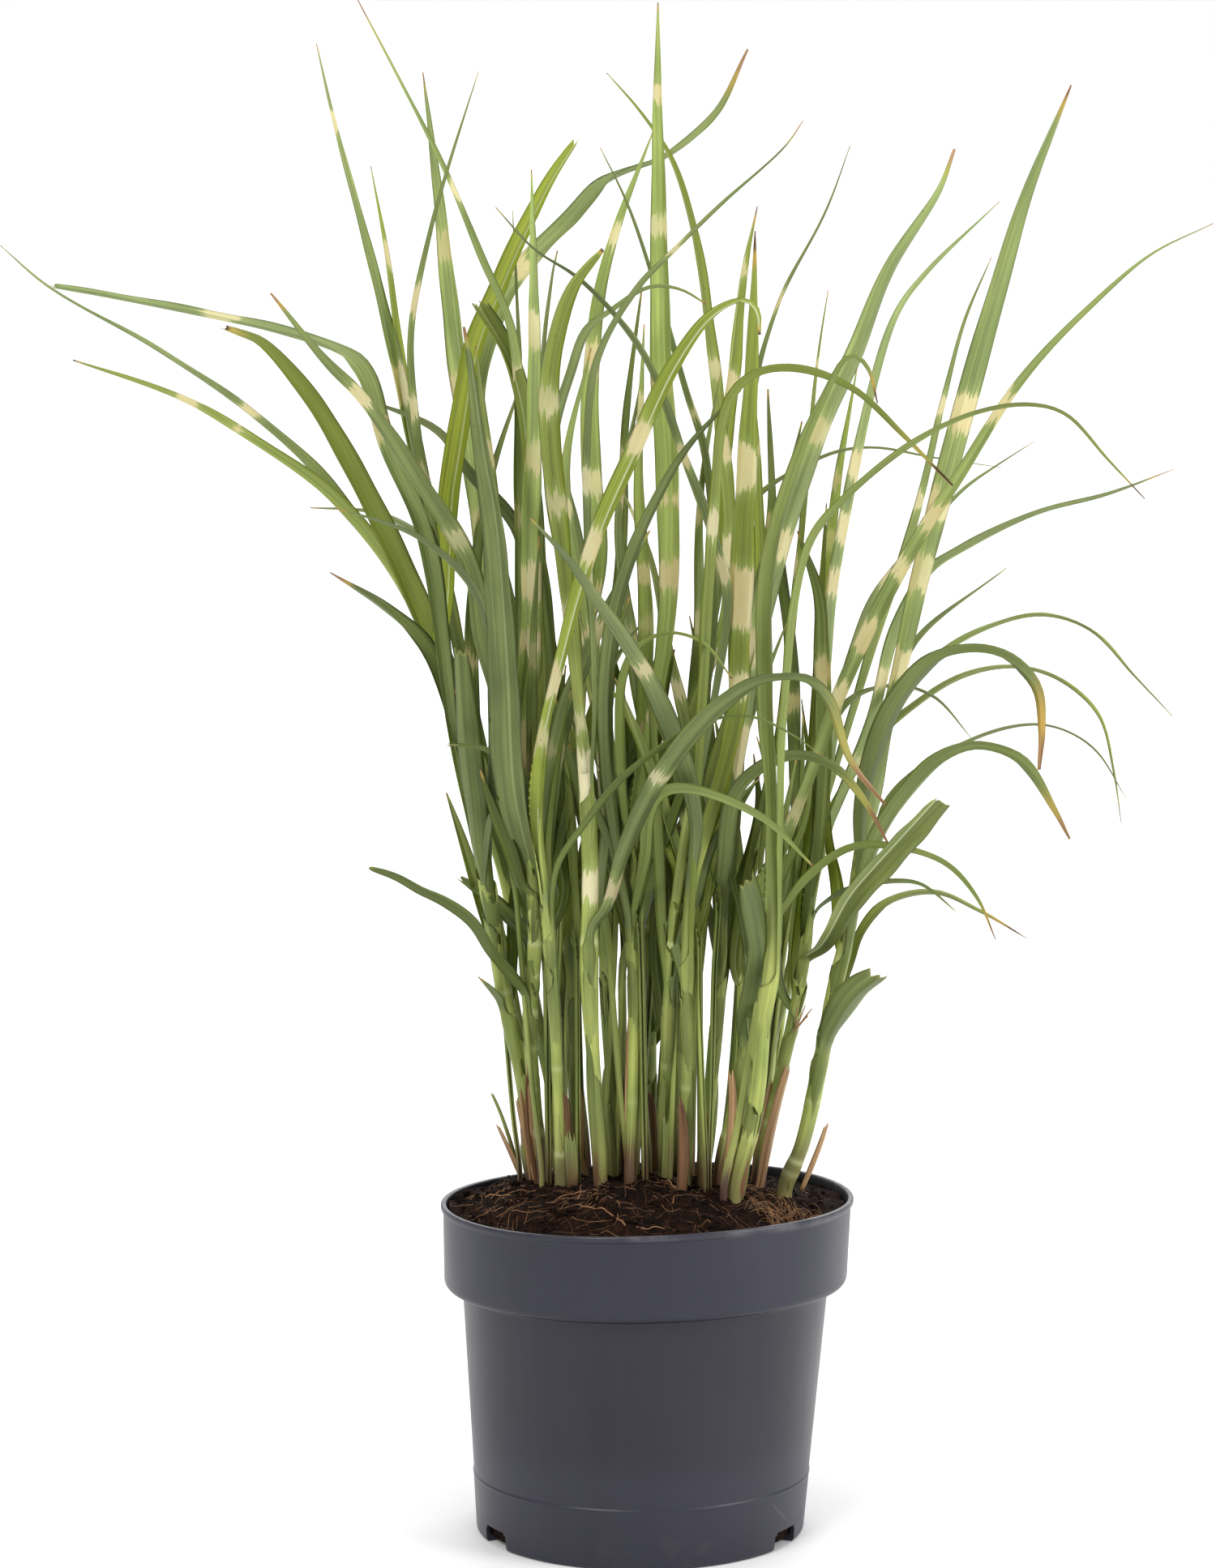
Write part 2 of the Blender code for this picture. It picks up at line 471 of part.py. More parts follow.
def smooth_curve(points):
    """Places along a smooth curve through the points, close together at close points."""
    ends = [points[0] * 2 - points[1], *points, points[-1] * 2 - points[-2]]
    curve = []
    for p0, p1, p2, p3 in zip(ends, ends[1:], ends[2:], ends[3:]):
        t1 = max((p1 - p0).length, 1e-6) ** 0.5
        t2 = t1 + max((p2 - p1).length, 1e-6) ** 0.5
        t3 = t2 + max((p3 - p2).length, 1e-6) ** 0.5
        for step in range(CURVE_SPANS):
            t = t1 + (t2 - t1) * step / CURVE_SPANS
            a1 = p0 * ((t1 - t) / t1) + p1 * (t / t1)
            a2 = p1 * ((t2 - t) / (t2 - t1)) + p2 * ((t - t1) / (t2 - t1))
            a3 = p2 * ((t3 - t) / (t3 - t2)) + p3 * ((t - t2) / (t3 - t2))
            b1 = a1 * ((t2 - t) / t2) + a2 * (t / t2)
            b2 = a2 * ((t3 - t) / (t3 - t1)) + a3 * ((t - t1) / (t3 - t1))
            curve.append(b1 * ((t2 - t) / (t2 - t1)) + b2 * ((t - t1) / (t2 - t1)))
    curve.append(points[-1])
    return curve


def lengths(points):
    """The distance of each point from the first, along them."""
    found = [0.0]
    for first, second in zip(points, points[1:]):
        found.append(found[-1] + (second - first).length)
    return found


def thinned(curve, ring_length, ring_turn):
    """Fewer places: one for each ring_length of straight run or ring_turn degrees of bend."""
    weight = [0.0]
    for before, here, after in zip(curve, curve[1:], curve[2:]):
        bend = math.degrees((here - before).angle(after - here, 0.0))
        weight.append(weight[-1] + (here - before).length / ring_length + bend / ring_turn)
    weight.append(weight[-1] + (curve[-1] - curve[-2]).length / ring_length)
    count = max(2, round(weight[-1]))
    kept = []
    for ring in range(count + 1):
        want = weight[-1] * ring / count
        place = next((i for i, w in enumerate(weight) if w >= want - 1e-9), len(weight) - 1)
        before = max(place - 1, 0)
        span = weight[place] - weight[before]
        part = (want - weight[before]) / span if span > 1e-12 else 0.0
        kept.append(curve[before].lerp(curve[place], part))
    return kept


def tangents(points):
    found = []
    for i in range(len(points)):
        before = points[max(i - 1, 0)]
        after = points[min(i + 1, len(points) - 1)]
        found.append((after - before).normalized())
    return found


def face_turn(seen, true_mm, turn):
    """How far a blade is turned from facing the front, for it to show the width that is seen."""
    shown = seen / DRAWING_PER_METRE / (true_mm * MM)
    return turn * math.degrees(math.acos(min(MOST_SHOWN, max(LEAST_SHOWN, shown))))


def frames(points, turn):
    """For each place, the direction across the blade and the direction off its face."""
    found = []
    for i, along in enumerate(tangents(points)):
        level = along.cross(Vector((0.0, 1.0, 0.0))).normalized()
        back = level.cross(along)
        part = i / (len(points) - 1)
        angle = math.radians(turn + math.copysign(TWIST_TURN, turn) * (part - 0.5))
        across = level * math.cos(angle) + back * math.sin(angle)
        off = back * math.cos(angle) - level * math.sin(angle)
        found.append((across, off))
    return found


def upper_sign(points, directions):
    """+1 where the direction off the face is the upper side, which looks up and to the clump."""
    total = 0.0
    for point, (_, off) in zip(points, directions):
        inward = Vector((-point.x, -point.y, 0.0)) * LOOKS_IN
        total += off.dot(Vector((0.0, 0.0, 1.0)) + inward)
    return 1.0 if total > 0 else -1.0


def blade_width(part, true_mm, tip_mm):
    """Width at a part of the length: narrower at the collar, full, then a long taper."""
    full = true_mm * MM
    tip = max(tip_mm * MM, TIP_WIDTH)
    rise = COLLAR_SHARE + (1.0 - COLLAR_SHARE) * min(1.0, part / FULL_WIDTH_AT)
    fall = max(0.0, 1.0 - part ** TIP_TAPER)
    return tip + (full * rise - tip) * fall


def blade_ring(point, across, upper, width, sides):
    """A ring of a blade: a shallow fold with thin edges."""
    half = width / 2
    thick = min(BLADE_THICKNESS, width * 0.6) / 2
    edge = width * BLADE_FOLD
    if sides == 4:
        return [point - across * half + upper * edge, point - upper * thick,
                point + across * half + upper * edge, point + upper * thick]
    low = half * 0.33
    return [point - across * half + upper * edge,
            point - across * low - upper * thick, point + across * low - upper * thick,
            point + across * half + upper * edge,
            point + across * low + upper * thick, point - across * low + upper * thick]


def round_ring(point, across, upper, radius):
    ring = []
    for side in range(STEM_SIDES):
        angle = math.pi + math.tau * side / STEM_SIDES
        ring.append(point + across * (radius * math.cos(angle)) + upper * (radius * math.sin(angle)))
    return ring


def loft(rings):
    """A closed mesh through the rings, in triangles, with its faces looking out."""
    bm = bmesh.new()
    corners = [[bm.verts.new(place) for place in ring] for ring in rings]
    sides = len(corners[0])
    for first, second in zip(corners, corners[1:]):
        for i in range(sides):
            j = (i + 1) % sides
            bm.faces.new((first[i], first[j], second[j], second[i]))
    bm.faces.new(list(reversed(corners[0])))
    bm.faces.new(corners[-1])
    bmesh.ops.triangulate(bm, faces=bm.faces)
    bmesh.ops.recalc_face_normals(bm, faces=bm.faces)
    if bm.calc_volume(signed=True) < 0:
        bmesh.ops.reverse_faces(bm, faces=bm.faces)
    return bm


def stem_route(name):
    """The middle line of a stem, from its foot in the peat up to where its top leaf begins."""
    across, foot_mm, top_mm, _, route = STEMS[name]
    foot_depth = foot_mm * MM
    x = (across - DRAWING_AXIS) / DRAWING_PER_METRE * (1.0 + foot_depth / EYE_DISTANCE)
    surface = peat_height(x, foot_depth)
    foot = Vector((x, foot_depth, surface - SOCKET_DEPTH))
    ground = Vector((x, foot_depth, surface + GROUND_RISE))
    high = [sight(*place, 0.0).z for place in route]
    places = []
    for (px, py), height in zip(route, high):
        part = (height - surface) / (high[-1] - surface)
        places.append(sight(px, py, foot_depth + (top_mm * MM - foot_depth) * part))
    return [foot, ground, *places]


def leaf_route(start, start_depth, tip_mm, route):
    """A leaf's middle line from its start, its depth running off to the tip's."""
    flat = [start, *(sight(*place, start_depth) for place in route)]
    run = lengths(flat)
    places = [start]
    for place, gone in zip(route, run[1:]):
        part = (gone / run[-1]) ** DEPTH_GROWTH
        places.append(sight(*place, start_depth + (tip_mm * MM - start_depth) * part))
    return places


def on_stem(name, down):
    """The place on a stem's middle line that is this far down the drawing, and its direction."""
    curve = smooth_curve(stem_route(name))
    for before, after in zip(curve, curve[1:]):
        high, low = down_at(after), down_at(before)
        if high <= down <= low:
            part = (low - down) / max(low - high, 1e-9)
            return before.lerp(after, part), (after - before).normalized()
    raise ValueError(f"{name} has no place at {down}")


def stem_radius(name, height, top):
    """A stem tapers from its foot to its top."""
    radius = STEMS[name][3] * MM / 2
    part = min(1.0, max(0.0, (height - PEAT_EDGE) / (top - PEAT_EDGE)))
    return radius * (1.0 + (STEM_TAPER - 1.0) * part)


def stem_mesh(name):
    """One closed loft: the round stem, then the leaf that it ends in."""
    seen, true_mm, turn, tip_mm, tip_width, route = TOP_LEAVES[name]
    culm = stem_route(name)
    leaf = leaf_route(culm[-1], culm[-1].y, tip_mm, route)
    curve = smooth_curve(culm + leaf[1:])
    split = (len(culm) - 1) * CURVE_SPANS
    low = thinned(curve[CURVE_SPANS:split + 1], STEM_RING, RING_TURN)
    high = thinned(curve[split:], LEAF_RING, RING_TURN)
    points = [culm[0], *low, *high[1:]]
    stem_rings = 1 + len(low)
    directions = frames(points, face_turn(seen, true_mm, turn))
    sign = upper_sign(points, directions)
    run = lengths(points)
    start, total = run[stem_rings - 1], run[-1]
    rings = []
    for i, (point, (across, off)) in enumerate(zip(points, directions)):
        upper = off * sign
        if i == 0 or i == 1:
            across, upper = Vector((1.0, 0.0, 0.0)), Vector((0.0, 1.0, 0.0))
        if i < stem_rings:
            rings.append(round_ring(point, across, upper, stem_radius(name, point.z, culm[-1].z)))
            continue
        part = (run[i] - start) / (total - start)
        width = blade_width(part, true_mm, tip_width)
        rings.append(blade_ring(point, across, upper, width, STEM_SIDES))
    return loft(matched(rings))


def matched(rings):
    """The rings with their corners in step, so that no side of the loft twists."""
    kept = [rings[0]]
    for ring in rings[1:]:
        middle = sum(ring, Vector()) / len(ring)
        last = sum(kept[-1], Vector()) / len(ring)
        options = []
        for base in (ring, list(reversed(ring))):
            for shift in range(len(ring)):
                turned_ring = base[shift:] + base[:shift]
                miss = sum(((a - middle).normalized() - (b - last).normalized()).length_squared
                           for a, b in zip(turned_ring, kept[-1]))
                options.append((miss, len(options), turned_ring))
        kept.append(min(options)[2])
    return kept


def side_leaf_rings(stem, down, seen, true_mm, tip_mm, tip_width, route, gap):
    """Rings of a leaf that starts flat against its stem at a collar, on the side it goes to."""
    foot, along = on_stem(stem, down)
    goes_left = sum(across for across, _ in route) / len(route) < across_at(foot)
    goes_forward = tip_mm * MM < foot.y
    angle = face_turn(seen, true_mm, 1 if goes_left == goes_forward else -1)
    rough = [foot, *(sight(*place, foot.y) for place in route)]
    sign = upper_sign(rough, frames(rough, angle))
    level = along.cross(Vector((0.0, 1.0, 0.0))).normalized()
    turned_by = math.radians(angle - math.copysign(TWIST_TURN, angle) / 2)
    off = level.cross(along) * math.cos(turned_by) - level * math.sin(turned_by)
    upper = off * sign
    radius = stem_radius(stem, foot.z, stem_route(stem)[-1].z)
    if gap > 0:
        start = foot - upper * (radius + gap + BLADE_THICKNESS / 2)
        path = [start, *leaf_route(start + along * SHEATH_LENGTH, start.y, tip_mm, route)]
    else:
        path = leaf_route(foot, foot.y, tip_mm, route)
    curve = smooth_curve(path)
    points = thinned(curve, LEAF_RING, RING_TURN)
    directions = frames(points, angle)
    run = lengths(points)
    rings = []
    for point, gone, (across, away) in zip(points, run, directions):
        width = blade_width(gone / run[-1], true_mm, tip_width)
        rings.append(blade_ring(point, across, away * sign, width, 4))
    return rings


def make_side_leaves(parts, material):
    for name, (stem, down, *rest) in SIDE_LEAVES.items():
        rings = side_leaf_rings(stem, down, *rest, COLLAR_GAP)
        object_from(loft(rings), name, parts, material)


def make_stems(parts, helpers, material, leaf_material):
    """Each stem with its top leaf and the small leaves that are one piece with it."""
    bases = {}
    for name in STEMS:
        stem = object_from(stem_mesh(name), name, parts, material)
        foot = stem_route(name)[0]
        bases[name] = (foot, stem_radius(name, foot.z, stem_route(name)[-1].z))
        for number, (down, *rest) in enumerate(SMALL_LEAVES.get(name, [])):
            rings = side_leaf_rings(name, down, *rest, 0.0)
            helper = object_from(loft(rings), f"{name}_small_{number}", helpers, leaf_material)
            hide_helper(helper)
            boolean(stem, helper, "UNION")
    return bases


def main():
    clear_scene()
    parts = new_collection("potted_silver_grass")
    helpers = new_collection("helpers")
    leaf_material = plain_material("leaf", LEAF_GREEN, 0.5)
    stem_material = plain_material("stem", STEM_GREEN, 0.5)
    make_pot(parts, helpers)
    bases = make_stems(parts, helpers, stem_material, leaf_material)
    make_side_leaves(parts, leaf_material)
    make_peat(parts, bases)


main()
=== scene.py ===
"""The looks of a potted clump of banded silver grass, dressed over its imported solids.

Metres, +Z up, in the frame of the solids. Stems and leaves follow the same routes as their solids:
each is read off a front drawing, as points (across, down) of it, set at a depth along the line of
sight. Every blade is a thin folded sheet that opens out of a sheath round its stem.
"""

import math
import random

import bmesh
import bpy
import numpy as np
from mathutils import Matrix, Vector, noise


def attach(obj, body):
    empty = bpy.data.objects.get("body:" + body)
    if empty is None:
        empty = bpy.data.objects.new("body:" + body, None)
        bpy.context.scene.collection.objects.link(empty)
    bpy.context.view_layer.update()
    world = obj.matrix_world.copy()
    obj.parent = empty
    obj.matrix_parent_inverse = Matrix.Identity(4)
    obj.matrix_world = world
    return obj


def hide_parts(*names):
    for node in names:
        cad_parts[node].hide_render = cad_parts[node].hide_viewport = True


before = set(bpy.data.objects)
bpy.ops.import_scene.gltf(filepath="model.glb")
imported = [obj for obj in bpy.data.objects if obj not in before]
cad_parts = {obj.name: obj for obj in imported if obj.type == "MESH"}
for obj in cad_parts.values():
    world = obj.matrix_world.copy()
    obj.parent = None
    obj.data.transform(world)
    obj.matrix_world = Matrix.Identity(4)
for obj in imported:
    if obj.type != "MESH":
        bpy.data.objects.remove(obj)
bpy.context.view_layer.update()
MM = 0.001

# The front drawing: its scale on the pot's axis, and where the axis and the ground are on it.
DRAWING_PER_METRE = 2200.0
DRAWING_AXIS = 794.0
DRAWING_GROUND = 1880.0
EYE_HEIGHT = 0.527
EYE_DISTANCE = 1.875
PICTURE_WIDTH = 1500.0
PICTURE_HEIGHT = 1935.0
SENSOR = 36.0

# The pot and the peat.
POT_HEIGHT = 0.1825
RIM_RADIUS = 0.1152
BAND_TOP_RADIUS = 0.1138
BAND_FOOT_RADIUS = 0.1124
BAND_HEIGHT = 0.046
SHOULDER = POT_HEIGHT - BAND_HEIGHT
BODY_TOP_RADIUS = 0.1020
BASE_RADIUS = 0.0912
WALL = 0.0019
FLOOR = 0.0025
LIP = 0.0030
RIDGE_HEIGHT = 0.0320
NOTCH_ANGLES = (-60, 60, 120, -120)
NOTCH_WIDTH = 0.022
NOTCH_HEIGHT = 0.010
NOTCH_DEPTH = 0.012
POT_STEPS = 192
POT_LEAN = 0.0040
PEAT_EDGE = 0.1670
PEAT_CROWN = 0.1950
PEAT_FALL = 3.0
PEAT_GAP = 0.0010
PEAT_REACH = 0.104
CRUMB_REACH = 0.106
FIBRE_REACH = 0.1085
FIBRES = 430
STRAWS = 14
TUFT_FIBRES = 150
TUFT_RADIUS = 0.020
# The tuft on the front drawing, across and down, and its depth.
TUFT = (985, 1492, -0.055)
# Crumbs and clods: how many, how finely divided, and the least and most radius.
CRUMBS = ((1500, 1, 0.0005, 0.0014), (330, 2, 0.0012, 0.0034))
SOCKET_DEPTH = 0.014
OUT_OF_PEAT = 0.004

# Stems and leaves.
STEM_TAPER = 0.78
STEM_SIDES = 14
STEM_STEP = 0.0026
RING_STEP = 0.0047
SPANS = 10
BLADE_FOLD = 0.24
WIDER = 1.14
RIPPLE = 0.028
RIPPLE_LONG = (0.045, 0.075)
THIN_BELOW = 0.008
UPPER_THICK = 0.00013
UNDER_THICK = 0.00014
GROOVE_DEPTH = 0.00010
GROOVE_WIDTH = 0.0006
KEEL_DEPTH = 0.00038
KEEL_WIDTH = 0.0007
TIP_WIDTH = 0.0009
COLLAR_GAP = 0.0009
SMALL_GAP = 0.0003
BLADE_THICKNESS = 0.0011
SHEATH_LENGTH = 0.016
# How far below its collar, down the drawing, a sheath is held, and how far off the stem there.
SHEATH_STEPS = ((74, -0.0006), (50, 0.0001), (24, 0.0007))
TWIST_TURN = 16.0
ARCH_TURN = 0.88
DEPTH_GROWTH = 0.9
CUT_WIDTH = 4.0
RAGGED_MM = 5.0
COLLAR_STEP = 0.00030
NODE_SWELL = 0.00016
NODE_BELOW = 0.062
# How far a stem goes on inside its top leaf, and how far below that leaf it begins to thin.
STEM_ON = 0.012
STEM_THINS = 0.055
CLUMP_MIDDLE = 800.0
# The first inner leaf of a stem and the others: the highest and lowest that they leave it, down the
# drawing, and how far from the peat; where their tips are; how far they drift; and their true width.
INNER_LEAVES = (
    {"from": (1215, 1500), "clear": 6, "tip": (800, 1060), "drift": (18, 120), "width": (6.5, 11.5)},
    {"from": (1110, 1300), "clear": 10, "tip": (400, 720), "drift": (10, 70), "width": (9.5, 13.0)},
)
INNER_SWAY = 6
# Painted shade on inner leaves: a leaf whose tip is at the first place down the drawing is painted no
# lighter, and one whose tip is the second number higher is painted 0.3 lighter.
INNER_PAINTED_SHADE_FROM = 1050
INNER_PAINTED_SHADE_OVER = 650
STUB_DARK = 0.9
STUB_FORWARD = 6
STUB_ROLL = 0.0052
# Shoots: where down the drawing they open, how long their blades are, and how far they lean and cross.
SHOOT_OPENS = (1040, 1230)
SHOOT_BLADE = (150, 330)
SHOOT_LEAN = 26
SHOOT_CROSS = (10, 95)
SPREAD = np.array((-1.0, -0.75, -0.48, -0.22, -0.07, 0.0, 0.07, 0.22, 0.48, 0.75, 1.0))


def read_rows(text):
    """The rows of a table by name, each as its numbers by word.

    A row starts at the margin with its name, and goes on in indented lines. The numbers after the
    name are its "entry", and those after a plain word are that word's. Numbers joined by commas are
    a place, across and down on the drawing, and for a band also its length in millimetres.
    """
    rows = {}
    for line in text.strip().splitlines():
        words = line.split()
        if not line.startswith(" "):
            row = rows[words.pop(0)] = {"entry": []}
            values = row["entry"]
        for word in words:
            if word.isalpha():
                values = row[word] = []
            elif "," in word:
                values.append(tuple(float(part) for part in word.split(",")))
            else:
                values.append(word if word[0].isalpha() else float(word))
    return rows


# Stems: across at the peat, depth there, depth at the top and diameter, and the route up. After
# "leaf" comes the leaf that the stem ends in: width seen in the drawing, true width, turn of its face
# (+1 or -1), depth of the tip and width of the tip, and its route on from the stem. True widths,
# diameters and depths are in millimetres, and depths in front of the pot's axis are negative.
#
# Words that any blade can have:
#   bands   cream cross bands, each where the blade's middle line is nearest to that place
#   dry     how far from its tip it is yellow, and how far it is brown, in millimetres
#   taper   how many times wider than its true width it is, and how late it tapers
#   late    the part of its length at which it is full width
#   arch    how much of the way it turns flat where it arches over
#   tone    painted light: how lit it looks, and how far from grey-green to the olive of light through it
#   rib     how strong its midrib is
#   face    -1 where its upper side shows to the front
# Words that a stem can have: flat, how many times as wide as deep its sheaths are; shoots and inner,
# how many thin shoots stand beside it and how many inner leaves it has.
STEMS = read_rows("""
stem_01 661 25 -20 9 up 644,1323 624,1237 601,1093 590,1040 leaf 30 15 1 -60 9
  route 582,980 575,920 570,860 566,800 late 0.3 tone 0.55 0 shoots 1
stem_02 655 55 35 5.2 up 648,1323 630,1208 604,1093 588,1010 leaf 25 14 1 60 5
  route 566,900 547,800 553,731 558,616 567,558 590,429 617,360 652,281 677,230 714,171 taper 1.05 7
  tone 0.9 1 rib 0.6 shoots 0 inner 2
stem_03 668 2 -20 6.6 up 654,1266 660,1148 650,1020 leaf 20 13 -1 -10 1
  route 640,900 648,800 650,620 653,560 655,400 655,209 bands 655,402,22 652,566,16 650,722,20 645,790,12
  642,915,24 taper 1.12 3.2 late 0.25 tone 1.35 0.25 flat 1.1 inner 2
stem_04 692 -12 -45 6.2 up 684,1248 673,1110 664,1020 leaf 26 14 1 -170 2
  route 670,920 687,839 732,679 792,541 835,450 880,390 918,372 933,384 936,413
  bands 792,541,20 732,679,20 684,839,18 672,905,14 taper 0.9 4.5 late 0.85 arch 0.5 tone 0.92 0.75 rib 1
  face -1 inner 2
stem_05 712 30 20 6.2 up 706,1300 700,1100 704,960 leaf 24 14 -1 90 1
  route 716,800 733,680 724,580 725,454 735,370 755,290 790,200 805,163
  bands 752,291,13 725,436,16 723,598,15 726,740,14 712,880,16 taper 1.15 2.4 tone 1.15 0.35 shoots 2
stem_06 741 -20 -60 6.6 up 728,1237 727,1168 728,1065 722,950 708,822 leaf 28 15 1 -130 3
  route 690,680 672,500 683,411 706,350 743,307 bands 672,500,16 684,620,14 700,760,14 719,886,12 725,958,26
  728,1095,14 dry 4 1 taper 0.86 6 tone 0.8 1 rib 0.8 flat 1.45 shoots 2
stem_07 760 12 4 6.4 up 748,1237 748,1168 750,1065 744,950 726,822 leaf 22 13 -1 -60 2
  route 700,720 680,590 686,531 706,462 726,408 755,385 801,356 838,358 871,376
  bands 680,548,18 690,660,14 722,800,16 742,880,10 746,960,24 748,1020,10 taper 0.62 3 arch 0.6
  tone 0.8 0.1 flat 1.4 inner 2
stem_08 777 -14 0 6.6 up 782,1208 777,1122 785,1020 leaf 28 15 1 20 1
  route 805,900 826,760 828,600 820,450 816,265 813,108 812,3 bands 813,120,12 816,280,14 820,470,10
  828,616,6 827,714,16 806,880,10 taper 1.02 3.3 tone 1.25 0.3 shoots 2
stem_09 800 38 45 8 up 801,1300 802,1122 815,1010 leaf 18 13 -1 110 1
  route 850,880 890,760 894,650 883,520 873,422 855,293 826,196 790,140 748,90
  bands 875,451,12 886,552,14 892,685,16 870,820,14 taper 1.15 2.3 tone 0.8 0.85
stem_10 818 6 -32 6.2 up 822,1300 830,1150 850,1000 leaf 14 12 1 -110 1
  route 880,850 893,740 878,670 838,560 798,451 755,388 709,342 657,307 611,256 bands 838,560,10 885,700,12
  taper 0.9 2.2 tone 0.7 0.1 shoots 2 inner 2
stem_11 845 -18 -38 6.6 up 848,1300 848,1149 858,1060 leaf 18 12 1 -90 1
  route 880,980 903,880 905,780 910,650 925,400 931,285 bands 908,582,24 906,735,34 900,840,12 dry 26 10
  taper 1.5 3.4 tone 0.98 1
stem_12 868 8 0 6.6 up 885,1258 888,1172 889,1126 leaf 29 15 -1 -60 2
  route 898,1040 912,930 935,790 963,677 1014,530 1060,430 1100,330 1160,235 1178,184
  bands 1014,530,16 963,677,18 934,790,22 914,925,28 900,1020,16 dry 22 8 taper 1.12 2.7 tone 1 0.05
stem_13 888 -14 -20 7 up 914,1322 920,1205 930,1120 leaf 23 13 1 -190 1
  route 960,1060 1000,960 1045,840 1115,700 1190,580 1265,465 1340,385 1420,315 1497,276
  bands 1237,500,18 1148,643,16 1115,700,14 1070,790,20 1040,860,16 985,1000,14 taper 0.95 1.45
  tone 1.02 0.2 flat 1.1
stem_14 907 -38 -70 9 up 925,1400 935,1340 942,1259 950,1200 957,1150 leaf 18 13 -1 -190 1
  route 956,1000 950,850 950,740 962,650 986,573 1015,501 1050,440 1069,455 1082,498 dry 22 8 taper 1.15 3.2
  tone 0.76 0.6 flat 0.8 shoots 1
stem_15 937 4 -5 6.6 up 962,1332 975,1274 987,1216 998,1130 leaf 20 13 1 -20 2
  route 1012,1050 1020,950 1019,815 1013,730 985,655 bands 1019,832,12 taper 1 5 tone 0.8 0.2 shoots 1
stem_16 935 40 40 6.2 up 949,1322 954,1274 968,1226 987,1150 1008,1010 leaf 14 12 -1 110 1
  route 1020,880 1032,730 1059,580 1080,480 1110,385 1145,337 1233,249
  bands 1061,581,16 1046,652,16 1034,721,13 1022,850,12 taper 1.3 2.1 tone 0.94 0.05 shoots 1
stem_17 968 -10 -45 7.3 up 990,1410 1012,1310 1025,1240 1045,1150 1065,1030 leaf 33 16 1 -90 1
  route 1085,920 1105,840 1135,705 1184,514 1225,370 1265,240 1321,105
  bands 1186,514,20 1160,627,17 1140,705,19 1112,820,18 dry 26 8 late 0.75 tone 1.05 0.12 shoots 0
stem_18 905 62 95 6.4 up 930,1300 965,1150 1005,1020 leaf 14 12 1 150 1
  route 1015,900 1023,740 1038,587 1058,452 bands 1038,587,13 1031,670,15 1020,800,14 taper 1.45 2.2
  tone 1.1 0.4 shoots 1 inner 2
stem_19 835 60 85 6.4 up 838,1250 845,1050 leaf 18 13 -1 180 1
  route 860,850 872,700 885,560 898,474 915,335 934,254 bands 915,335,10 899,474,14 886,560,10 872,700,14
  dry 18 6 taper 1.35 4 tone 0.85 0.9 rib 0.6 shoots 1 inner 2
stem_20 722 62 85 6.4 up 700,1250 670,1100 640,960 leaf 24 14 1 150 1
  route 612,760 592,580 567,429 552,306 540,210 522,89 bands 551,306,20 575,470,12 600,640,12 dry 20 8
  taper 1.35 2.7 tone 1.15 0.1 shoots 1 inner 2
stem_21 694 48 75 6.4 up 668,1280 632,1120 600,980 leaf 20 13 -1 100 1
  route 570,830 532,663 512,570 486,450 455,320 410,146 390,54
  bands 405,146,14 488,470,24 512,600,12 540,700,12 taper 1.25 1.5 tone 1.02 0.1 shoots 0
stem_22 765 66 110 6.4 up 752,1250 735,1080 700,940 leaf 27 15 1 190 2
  route 640,780 600,620 588,500 615,390 648,333 700,280 750,225 830,190 885,140 923,61
  bands 648,333,16 590,500,12 606,650,14 dry 44 14 taper 1.35 2.6 tone 0.9 0.2 shoots 1 inner 2
""")

